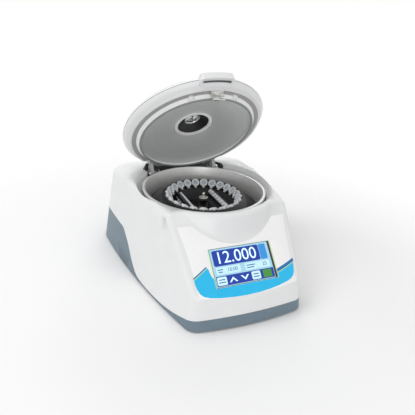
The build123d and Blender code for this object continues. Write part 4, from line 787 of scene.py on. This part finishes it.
class BuildBowl(bpy.types.Operator):
    """Rotor chamber, its gasket and the boot round the shaft"""

    bl_idname = "microfuge.bowl"
    bl_label = "Rotor chamber"

    def execute(self, context):
        sizes = context.scene.microfuge_bowl
        steel = finish("steel_spun", sizes.steel, 0.03, (0.3, 0.4), metal=0.45, grain=160, relief=0.000004,
                       relief_scale=1500, about=BOWL)
        inner = bowl_corner(0.0, range(0, 91, 6))
        outer = bowl_corner(BOWL_WALL, range(90, -1, -6))
        lip = sizes.lip_round / MM
        rolled = [(BOWL_R, BOWL_TOP - lip), (BOWL_R + lip * 0.3, BOWL_TOP - lip * 0.3),
                  (BOWL_R + lip, BOWL_TOP), (BOWL_LIP_R - lip, BOWL_TOP),
                  (BOWL_LIP_R - lip * 0.3, BOWL_TOP - lip * 0.3),
                  (BOWL_LIP_R, BOWL_TOP - lip), (BOWL_LIP_R, 125.3), (BOWL_R + BOWL_WALL, 125.3)]
        section = [(14, BOWL_FLOOR)] + inner + rolled + outer + [(14, BOWL_FLOOR - BOWL_WALL)]
        piece("spun_bowl", lathe(section, steps=192), steel, "housing", BOWL, ["chamber_bowl"])
        rubber = finish("rubber_grey", (0.12, 0.12, 0.12), 0.1, (0.6, 0.75), grain=200, relief=0.00005)
        gasket = lathe([(95.8, 122), (99.5, 122), (99.5, 125.3), (95.8, 125.3)], 0.6)
        piece("bowl_seat", gasket, rubber, "housing", BOWL, ["bowl_gasket"])
        black = finish("rubber_black", (0.012, 0.012, 0.013), 0.2, (0.55, 0.7), grain=200, relief=0.00005)
        boot = [(12.5, 49), (14, 49)] + [(14.0 - 0.7 * (step % 2), 50 + step) for step in range(9)]
        boot += [(14, 60), (12.5, 60)]
        piece("shaft_bellows", lathe(boot, 0.2, 64), black, "housing", BOWL, ["shaft_boot"])
        return {"FINISHED"}


SLOPE_RUN, SLOPE_FALL = 22.0, 15.4
SLOPE_TOP_Z = 115.4
MARK_R = 76.0
MARK_ANGLE = math.radians(-52)
NUT = [(3.05, 98.5), (5.5, 98.5), (5.5, 106), (7.5, 106.2), (7.5, 109.8), (7.0, 110), (1.6, 110),
       (1.6, 114.4)]
KNURL_R, KNURL_DEPTH = 7.2, 0.35
NUT_DISC_Z = 106.1
BALL_R, BALL_Z = 2.3, 116


def mark_place():
    """Frame of the index mark, flat on the rotor's outer slope."""
    lean = math.atan2(SLOPE_FALL, SLOPE_RUN)
    outward = Vector((math.cos(MARK_ANGLE), math.sin(MARK_ANGLE), 0))
    along = Vector((-math.sin(MARK_ANGLE), math.cos(MARK_ANGLE), 0))
    slope = outward * math.cos(lean) - Vector((0, 0, 1)) * math.sin(lean)
    normal = slope.cross(along)
    height = SLOPE_TOP_Z - 10 * SLOPE_FALL / SLOPE_RUN
    middle = outward * MARK_R + Vector((0, BOWL_Y, height))
    return placed(middle, slope, normal.cross(slope), normal)


class BuildRotor(bpy.types.Operator):
    """Rotor with its index mark, nut and washer"""

    bl_idname = "microfuge.rotor"
    bl_label = "Rotor"

    def execute(self, context):
        sizes = context.scene.microfuge_rotor
        black = finish("rotor_black", sizes.black, 0.25, (0.3, 0.42), metal=0.35, grain=500, relief=0.000012,
                       relief_scale=2600, about=BOWL)
        piece("rotor_body", joined_copy("rotor"), black, "rotor_group", stands_for=["rotor"])
        white = finish("mark_white", (0.8, 0.8, 0.78), 0.04, (0.4, 0.5), grain=300, relief=0.00001)
        mark = flat_shape([rounded_box(0, 0, 4.5, 9.0, 0.8)], -0.2, 0.06)
        piece("rotor_mark", mark, white, "rotor_group", mark_place())
        nut_steel = finish("steel_nut", (0.62, 0.60, 0.56), 0.06, (0.22, 0.34), metal=1.0, grain=300,
                           relief=0.000008, about=BOWL)
        nut_black = finish("nut_black", (0.02, 0.02, 0.02), 0.2, (0.3, 0.4), metal=0.6, grain=300,
                           relief=0.000008)
        count = sizes.knurls

        def knurled(reach, height, angle):
            if reach > KNURL_R:
                return reach - KNURL_DEPTH * (0.5 - 0.5 * math.cos(count * angle))
            return reach

        ball = [(BALL_R * math.sin(math.radians(a)), BALL_Z - BALL_R * math.cos(math.radians(a)))
                for a in range(45, 180, 15)]
        section = NUT + ball + [(0, BALL_Z + BALL_R), (0, 108), (3.05, 108)]
        nut = piece("knurled_nut", lathe(section, steps=240, ripple=knurled), [nut_steel, nut_black], "nut",
                    BOWL, ["rotor_nut"])
        recolour(nut, 1, lambda middle, normal: middle.z < NUT_DISC_Z)
        washer = lathe([(3.05, 97), (8, 97), (8, 98.5), (3.05, 98.5)], 0.25, 64)
        piece("nut_seat_washer", washer, nut_black, "washer", BOWL, ["nut_washer"])
        return {"FINISHED"}


TUBE_SEAT = (57.8, 111.2)
STRIP_SEAT = (27, 104)
STRIP_PITCH = 9.0
TUBE = [(0, -34), (2, -34), (5.4, -18), (5.4, 0), (6.4, 0), (6.4, 1.2), (4.4, 1.2), (4.4, -18), (1, -33),
        (0, -33)]
CAP = [(0, 1.2), (6.7, 1.2), (6.7, 4.2), (4.3, 4.2), (3.9, 2.7), (0, 2.7)]
CAP_CENTRE = [(0, 2.6), (3.9, 2.6), (3.9, 2.9), (2.8, 3.0), (0, 3.05)]
SMALL_TUBE = [(0, -17), (1.2, -17), (3, -10), (3, 0.5), (3.5, 0.5), (3.5, 1.4), (2.3, 1.4), (2.3, -10),
              (0.6, -16), (0, -16)]
SMALL_CAP = [(0, 1.2), (3.3, 1.2), (3.3, 2.6), (2.6, 3.0), (2.0, 2.4), (0, 2.4)]


def leaning_seat(reach, height):
    """Frame of a seat whose tube leans in by half a right angle, with its tab to the middle."""
    half = math.sqrt(0.5)
    lean = Matrix(((0, -half, -half), (1, 0, 0), (0, -half, half))).to_4x4()
    return Matrix.Translation((reach, 0, height)) @ lean


def sample_plastic(name, colour, spread, rough, clear):
    """A clear or frosted plastic of the tubes."""
    return finish(name, colour, spread, rough, grain=300, relief=0.00001, clear=clear)


class BuildSamples(bpy.types.Operator):
    """Capped sample tubes in the ring and two strips of small tubes"""

    bl_idname = "microfuge.samples"
    bl_label = "Sample tubes"

    def execute(self, context):
        sizes = context.scene.microfuge_rotor
        turn = 2 * math.pi / sizes.tube_count
        ring = dict(count=sizes.tube_count, first=turn / 2, turn=turn)
        tube_plastic = sample_plastic("tube_clear", (0.80, 0.84, 0.87), 0.03, (0.22, 0.32), 0.45)
        cap_plastic = sample_plastic("cap_frosted", (0.90, 0.91, 0.92), 0.03, (0.3, 0.4), 0.25)
        centre_tint = sample_plastic("cap_centre", (0.50, 0.58, 0.66), 0.08, (0.25, 0.35), 0.2)
        tube = lathe(TUBE, 0.2, 24)
        tab = flat_shape([rounded_box(0, 6.6, 4.0, 4.8, 0.6, 3)], 1.25, 2.4, 0.2)
        hinge = flat_shape([rounded_box(0, -6.0, 3.0, 0.7, 0.2, 2)], -0.5, 2.2, 0.1)
        cap = merged([lathe(CAP, 0.2, 28), tab, hinge])
        centre = lathe(CAP_CENTRE, 0.1, 24)
        for name, mesh, material, slot, stands in (
            ("ring_tubes", tube, tube_plastic, "tube_clear", ["sample_tubes"]),
            ("ring_caps", cap, cap_plastic, "cap_clear", ["tube_caps"]),
            ("cap_centres", centre, centre_tint, "cap_clear", []),
        ):
            mesh.transform(leaning_seat(*TUBE_SEAT))
            piece(name, repeated(mesh, material, **ring), material, "rotor_group", BOWL, stands)
        start = -STRIP_PITCH * (sizes.strip_count - 1) / 2
        row = dict(count=sizes.strip_count, start=(start, 0, 0), step=(STRIP_PITCH, 0, 0))
        bar = flat_shape([rounded_box(0, 0, 70, 7.5, 2.4)], 0.2, 1.4, 0.2)
        tubes = merged([repeated(lathe(SMALL_TUBE, 0.15, 20), tube_plastic, **row), bar])
        caps = repeated(lathe(SMALL_CAP, 0.15, 20), cap_plastic, **row)
        for name, mesh, material, slot, stands in (
            ("strip_row", tubes, tube_plastic, "tube_clear", ["strip_tubes"]),
            ("strip_caps", caps, cap_plastic, "cap_clear", []),
        ):
            twin = mesh.copy()
            mesh.transform(leaning_seat(*STRIP_SEAT))
            twin.transform(Matrix.Rotation(math.pi, 4, "Z") @ leaning_seat(*STRIP_SEAT))
            piece(name, merged([mesh, twin]), material, "rotor_group", BOWL, stands)
        return {"FINISHED"}


RING_WALL = [(92, 11.1), (94.6, 11.1), (98.4, 15.6), (98.4, 16), (95.2, 16), (95.2, 19.9), (92, 19.9)]
RING_BOSS = [(2.8, 10.9), (5.2, 10.9), (5.2, 16), (2.8, 16)]
BOSS_X, BOSS_Y = 34.5, -90.5
LID_SEAL = [(91, 9.5), (94.5, 9.5), (94.5, 11.1), (91, 11.1)]
DISH_EDGE, DISH_MIDDLE, DISH_TOP, DISH_T = (92, 14), (61, 25.2), (30, 34), 0.8
GROMMET = [(26.6, 32.2), (31.4, 32.2), (31.4, 33.2), (30, 33.8), (30, 37), (26.6, 37)]
CUP = [(14.2, 49.6), (14.2, 44), (26.6, 35.2), (27, 35), (27, 36.6), (15.6, 44.8), (15.6, 49.6)]
HOOP = [(11.4, 43.8), (14, 43.8), (14, 46), (11.4, 46)]
HUB = [(0, 44), (2.6, 44), (2.6, 46), (0, 46)]
SPOKES = 3
GROOVE_HALF, GROOVE_R, GROOVE_Z = 22.3, (117.1, 121.8), (21.2, 26.3)
SEAM = [(116.8, 27.1), (117.12, 27.2), (117.12, 27.8), (116.8, 27.9)]


def in_shaded_groove(middle, normal):
    """True for the faces of the finger groove in the lid's handle, which are given painted shade."""
    spot = LID.inverted() @ (middle * MM)
    reach = math.hypot(spot.x, spot.y)
    across = abs(spot.x) < GROOVE_HALF
    return across and GROOVE_R[0] < reach < GROOVE_R[1] and GROOVE_Z[0] < spot.z < GROOVE_Z[1]


class BuildLid(bpy.types.Operator):
    """Lid shell, its liner, ring, seal, dish, sight window and handle"""

    bl_idname = "microfuge.lid"
    bl_label = "Lid"

    def execute(self, context):
        sizes = context.scene.microfuge_lid
        shell = bpy.data.materials["shell_white"]
        edge = sizes.edge_round / MM
        piece("lid_cover", joined_copy("lid_shell"), shell, "lid", stands_for=["lid_shell"])
        liner = finish("liner_grey", sizes.liner, 0.03, (0.4, 0.5), grain=60, relief=0.00003)
        piece("lid_liner", joined_copy("lid_plate"), liner, "lid", stands_for=["lid_plate"])
        ring = finish("ring_white", sizes.ring, 0.02, (0.3, 0.4), grain=60, relief=0.00002)
        bosses = [lathe(RING_BOSS, 0.3, 32) for _ in range(2)]
        for side, boss in zip((-1, 1), bosses):
            boss.transform(Matrix.Translation((side * BOSS_X, BOSS_Y, 0)))
        piece("lid_ring_body", merged([lathe(RING_WALL, edge, 192)] + bosses), ring, "lid",
              LID, ["lid_ring"])
        rubber = bpy.data.materials["rubber_grey"]
        piece("lid_seal_lip", lathe(LID_SEAL, max(edge, 0.5)), rubber, "lid", LID,
              ["lid_seal"])
        self.build_dish(sizes, ring)
        # Dark grey painted shade for the handle's finger groove; the same material also draws the dark seam
        # line round the lid.
        groove = finish("groove_shade_and_seam_grey", (0.10, 0.12, 0.12), 0.08, (0.4, 0.5), grain=80, relief=0.00002)
        grip = piece("lid_grip", joined_copy("lid_handle"), [shell, groove], "lid",
                     stands_for=["lid_handle"])
        # The groove's faces get the dark grey as painted shade.
        recolour(grip, 1, in_shaded_groove)
        piece("lid_seam", arc_band(SEAM, 138, 402, 160), groove, "lid", LID)
        return {"FINISHED"}

    def build_dish(self, sizes, ring):
        """The dish with the grommet, cup, chrome ring and sight window in its middle."""
        dish_steel = finish("steel_dish", sizes.dish, 0.04, (0.26, 0.34), metal=0.35, grain=160,
                            relief=0.000004, relief_scale=1500, about=LID)
        under = arc_through(DISH_EDGE, DISH_MIDDLE, DISH_TOP, 48)
        over = [(r, h + DISH_T) for r, h in reversed(under)]
        piece("lid_dish_pan", lathe(under + over, steps=192), dish_steel, "lid", LID,
              ["lid_dish"])
        piece("dish_grommet_lip", lathe(GROMMET, 0.5, 96), ring, "lid", LID, ["dish_grommet"])
        black = finish("cup_black", (0.008, 0.008, 0.009), 0.2, (0.35, 0.5), grain=200, relief=0.00002,
                       about=LID)
        piece("sight_cup", lathe(CUP, 0.3, 96), black, "lid", LID, ["eye_cup"])
        chrome = finish("chrome_ring", (0.82, 0.83, 0.84), 0.05, (0.08, 0.16), metal=1.0, grain=200,
                        relief=0.000004, about=LID)
        spoke = flat_shape([rounded_box(0, 7.2, 2.0, 9.4, 0.6, 3)], 44.2, 45.8, 0.3)
        spokes = repeated(spoke, chrome, SPOKES, first=math.pi, turn=2 * math.pi / SPOKES)
        hoop = merged([lathe(HOOP, 0.5, 64), spokes, lathe(HUB, 0.5, 32)])
        piece("sight_hoop", hoop, chrome, "lid", LID, ["window_ring"])
        clear = finish("window_smoke", (0.62, 0.66, 0.66), 0.03, (0.03, 0.06), grain=60, relief=0.000002,
                       clear=0.85)
        piece("sight_pane", joined_copy("sight_window"), clear, "lid",
              stands_for=["sight_window"])


def arc_through(start, middle, end, steps):
    """Points of the arc through three points."""
    (ax, ay), (bx, by), (cx, cy) = start, middle, end
    double = 2 * (ax * (by - cy) + bx * (cy - ay) + cx * (ay - by))
    square_a, square_b, square_c = ax**2 + ay**2, bx**2 + by**2, cx**2 + cy**2
    x = (square_a * (by - cy) + square_b * (cy - ay) + square_c * (ay - by)) / double
    y = (square_a * (cx - bx) + square_b * (ax - cx) + square_c * (bx - ax)) / double
    first = math.atan2(ay - y, ax - x)
    last = math.atan2(cy - y, cx - x)
    reach = math.hypot(ax - x, ay - y)
    return [(x + reach * math.cos(first + (last - first) * step / steps),
             y + reach * math.sin(first + (last - first) * step / steps)) for step in range(steps + 1)]


SCREW_X, SCREW_Y, SCREW_Z = 52.5, 117.9, 105
FOOT = [(2, 4), (11, 4), (11, 0.8), (10.2, 0), (8.4, 0), (8.0, 0.5), (7.2, 0.5), (6.8, 0), (3.8, 0),
        (3.8, 3.2), (2, 3.2)]
FEET = ((-62, -142), (62, -142), (-100, 110), (100, 110))
HINGE_Z = 119
COIL_START_X, COIL_END_X = 54.2, 48.6
COIL_R, WIRE_R = 4.1, 0.72
COIL_STEPS = 20


class BuildFittings(bpy.types.Operator):
    """Hinge, lock, screws, feet, inlet and switch"""

    bl_idname = "microfuge.fittings"
    bl_label = "Hinge, lock and fittings"

    def execute(self, context):
        sizes = context.scene.microfuge_fittings
        steel = finish("steel_bracket", (0.60, 0.60, 0.58), 0.08, (0.25, 0.4), metal=1.0, grain=120,
                       relief=0.00001, stretch=(1, 14, 1))
        zinc = finish("zinc_screw", (0.66, 0.66, 0.64), 0.08, (0.2, 0.34), metal=1.0, grain=240,
                      relief=0.00001)
        dark = finish("plastic_black", (0.014, 0.014, 0.015), 0.15, (0.4, 0.55), grain=160, relief=0.00004)
        arm = finish("arm_grey", (0.55, 0.55, 0.54), 0.03, (0.35, 0.45), grain=80, relief=0.00002)
        for node, name, material, body, slot in (
            ("hinge_brackets", "hinge_seats", steel, "housing", "bracket_steel"),
            ("hinge_pins", "hinge_axles", zinc, "housing", "bracket_steel"),
            ("hinge_arms", "hinge_lugs", arm, "lid", "shell_plastic"),
            ("lid_striker", "striker_blade", steel, "lid", "bracket_steel"),
            ("lock_bolt", "lock_bar", zinc, "bolt", "bracket_steel"),
            ("lock_guide", "lock_bridge", steel, "housing", "bracket_steel"),
            ("mains_inlet", "inlet_body", dark, "housing", "dark_plastic"),
            ("switch_frame", "switch_bezel", dark, "housing", "dark_plastic"),
            ("switch_rocker", "switch_key", dark, "rocker", "dark_plastic"),
        ):
            piece(name, joined_copy(node), material, body, stands_for=[node])
        coils = [coil(side, sizes.coil_turns) for side in (-1, 1)]
        piece("hinge_coils", merged(coils), zinc, "housing", WORLD, ["hinge_springs"])
        scale = Matrix.Scale(sizes.screw_head / MM / HEAD_R, 4)
        heads = []
        for side in (-1, 1):
            head = pan_head()
            head.transform(Matrix.Translation((side * SCREW_X, SCREW_Y, SCREW_Z)) @ scale)
            heads.append(head)
        piece("hinge_screw_heads", merged(heads), zinc, "housing", WORLD, ["bracket_screws"])
        rubber = bpy.data.materials["rubber_black"]
        foot = lathe(FOOT, 0.3, 48)
        feet = []
        for x, y in FEET:
            one = foot.copy()
            one.transform(Matrix.Translation((x, y, 0)))
            feet.append(one)
        piece("grooved_feet", merged(feet), rubber, "housing", WORLD, ["rubber_feet"])
        return {"FINISHED"}


def coil(side, turns):
    """Spring wire wound round a hinge pin, with its leg down to the bracket."""
    curve = bpy.data.curves.new("wire", "CURVE")
    curve.dimensions = "3D"
    curve.bevel_depth = WIRE_R
    curve.bevel_resolution = 3
    curve.use_fill_caps = True
    steps = turns * COIL_STEPS
    path = []
    for step in range(steps + 1):
        angle = 2 * math.pi * step / COIL_STEPS
        x = COIL_START_X - (COIL_START_X - COIL_END_X) * step / steps
        path.append((x, HINGE_Y + COIL_R * math.cos(angle), HINGE_Z + COIL_R * math.sin(angle)))
    path.append((COIL_END_X, HINGE_Y + COIL_R, 105.4))
    spline = curve.splines.new("POLY")
    spline.points.add(len(path) - 1)
    for point, spot in zip(spline.points, path):
        point.co = (side * spot[0], spot[1], spot[2], 1)
    return curve_mesh(curve, 0.0)


class BuildInside(bpy.types.Operator):
    """Finishes for the parts inside the casing"""

    bl_idname = "microfuge.inside"
    bl_label = "Inside parts"

    def execute(self, context):
        dark = bpy.data.materials["plastic_black"]
        zinc = bpy.data.materials["zinc_screw"]
        steel = bpy.data.materials["steel_bracket"]
        board = finish("board_green", (0.01, 0.10, 0.03), 0.5, (0.3, 0.5), grain=420, relief=0.00006)
        iron = finish("core_iron", (0.22, 0.21, 0.20), 0.2, (0.35, 0.5), metal=0.9, grain=40, relief=0.00003,
                      stretch=(1, 1, 60))
        sink = finish("sink_aluminium", (0.62, 0.62, 0.63), 0.06, (0.3, 0.4), metal=1.0, grain=90,
                      relief=0.00001, stretch=(1, 1, 20))
        rubber = bpy.data.materials["rubber_black"]
        for nodes, material in (
            (("display_frame", "display_module", "board_standoffs", "capacitors"), dark),
            (("display_board", "main_board"), board),
            (("motor_stator", "motor_armature", "transformer"), iron),
            (("motor_plate", "motor_can", "lock_solenoid"), steel),
            (("motor_shaft", "motor_bearings", "motor_screws", "foot_screws", "housing_screws"), zinc),
            (("heat_sink",), sink),
            (("rubber_dampers",), rubber),
        ):
            for node in nodes:
                paint(node, material)
        return {"FINISHED"}


FLOOR_R = 2.0
FADE_START, FADE_END = 0.24, 0.62
AIM = Vector((0, 0, 0.1))
LAMPS = (
    ("key_lamp", (-1.0, 0.1, 1.6), 0.9, 1.0),
    ("back_lamp", (0.5, 1.2, 1.3), 0.8, 0.5),
    ("low_lamp", (-0.35, -1.1, 0.32), 0.5, 0.22),
)
CAMERA_AT = (-0.2671, -0.6018, 0.3949)
CAMERA_TURN = Matrix(((0.9229, 0.0874, -0.3751), (-0.3803, 0.3613, -0.8514), (0.0611, 0.9284, 0.3666)))
CAMERA_SHIFT = (0.0075, -0.0583)


class BuildStudio(bpy.types.Operator):
    """Pale floor, soft lamps and the camera"""

    bl_idname = "microfuge.studio"
    bl_label = "Studio"

    def execute(self, context):
        sizes = context.scene.microfuge_studio
        self.lay_floor(context.scene)
        self.fill_world(context.scene, sizes.fill)
        for name, at, size, share in LAMPS:
            lamp = bpy.data.lights.new(name, "AREA")
            lamp.energy = sizes.key * share
            lamp.size = size
            holder = bpy.data.objects.new(name, lamp)
            holder.location = at
            holder.rotation_euler = (AIM - Vector(at)).to_track_quat("-Z", "Y").to_euler()
            context.scene.collection.objects.link(holder)
        self.set_camera(context.scene, sizes.lens)
        context.scene.view_settings.view_transform = "Standard"
        return {"FINISHED"}

    def lay_floor(self, scene):
        """A round paper floor that fades out before its edge."""
        work = bmesh.new()
        bmesh.ops.create_circle(work, cap_ends=True, segments=96, radius=FLOOR_R)
        mesh = mesh_of(work)
        mesh.name = "studio_floor"
        paper = finish("studio_paper", (0.95, 0.95, 0.95), 0.004, (0.8, 0.9), grain=4, relief=0.00001)
        fade_out(paper, FADE_START, FADE_END)
        mesh.materials.append(paper)
        floor = bpy.data.objects.new("studio_floor", mesh)
        scene.collection.objects.link(floor)

    def fill_world(self, scene, fill):
        """Even light all round, which the camera, glass and gloss see as white."""
        world = bpy.data.worlds.new("studio_world")
        scene.world = world
        world.use_nodes = True
        tree = world.node_tree
        tree.nodes.clear()
        path = tree.nodes.new("ShaderNodeLightPath")
        seen = path.outputs["Is Camera Ray"]
        for ray in ("Is Transmission Ray", "Is Glossy Ray"):
            either = tree.nodes.new("ShaderNodeMath")
            either.operation = "MAXIMUM"
            tree.links.new(seen, either.inputs[0])
            tree.links.new(path.outputs[ray], either.inputs[1])
            seen = either.outputs[0]
        even = add_node(tree, "ShaderNodeBackground", Color=(1, 1, 1, 1), Strength=fill)
        bright = add_node(tree, "ShaderNodeBackground", Color=(1, 1, 1, 1), Strength=1.0)
        mix = tree.nodes.new("ShaderNodeMixShader")
        tree.links.new(seen, mix.inputs["Fac"])
        tree.links.new(even.outputs[0], mix.inputs[1])
        tree.links.new(bright.outputs[0], mix.inputs[2])
        out = tree.nodes.new("ShaderNodeOutputWorld")
        tree.links.new(mix.outputs[0], out.inputs["Surface"])

    def set_camera(self, scene, focal):
        """Camera at the photograph's angle."""
        lens = bpy.data.cameras.new("studio_camera")
        lens.sensor_width = 36.0
        lens.lens = focal
        lens.shift_x, lens.shift_y = CAMERA_SHIFT
        lens.clip_start = 0.01
        camera = bpy.data.objects.new("studio_camera", lens)
        camera.matrix_world = Matrix.Translation(CAMERA_AT) @ CAMERA_TURN.to_4x4()
        scene.collection.objects.link(camera)
        scene.camera = camera


class MicrofugePanel(bpy.types.Panel):
    """Lists the pieces that can be built"""

    bl_idname = "VIEW3D_PT_microfuge"
    bl_label = "Microcentrifuge"
    bl_space_type = "VIEW_3D"
    bl_region_type = "UI"
    bl_category = "Microcentrifuge"

    def draw(self, context):
        for operator in OPERATORS:
            self.layout.operator(operator.bl_idname)


OPERATORS = (BuildCasing, BuildPanel, BuildDisplay, BuildBowl, BuildRotor, BuildSamples, BuildLid,
             BuildFittings, BuildInside, BuildStudio)
SETTINGS = {
    "microfuge_casing": CasingSettings,
    "microfuge_panel": PanelSettings,
    "microfuge_bowl": BowlSettings,
    "microfuge_rotor": RotorSettings,
    "microfuge_lid": LidSettings,
    "microfuge_fittings": FittingSettings,
    "microfuge_studio": StudioSettings,
}


def register():
    """Adds the settings, the operators and the panel."""
    for group in SETTINGS.values():
        bpy.utils.register_class(group)
    for operator in OPERATORS:
        bpy.utils.register_class(operator)
    bpy.utils.register_class(MicrofugePanel)
    for name, group in SETTINGS.items():
        setattr(bpy.types.Scene, name, PointerProperty(type=group))


def unregister():
    """Takes out what register added."""
    for name in SETTINGS:
        delattr(bpy.types.Scene, name)
    bpy.utils.unregister_class(MicrofugePanel)
    for operator in reversed(OPERATORS):
        bpy.utils.unregister_class(operator)
    for group in reversed(list(SETTINGS.values())):
        bpy.utils.unregister_class(group)


def main():
    """Builds the model over its frame."""
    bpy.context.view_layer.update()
    register()
    bpy.ops.microfuge.casing()
    bpy.ops.microfuge.panel()
    bpy.ops.microfuge.display()
    bpy.ops.microfuge.bowl()
    bpy.ops.microfuge.rotor()
    bpy.ops.microfuge.samples()
    bpy.ops.microfuge.lid()
    bpy.ops.microfuge.fittings()
    bpy.ops.microfuge.inside()
    bpy.ops.microfuge.studio()


if __name__ == "__main__":
    main()
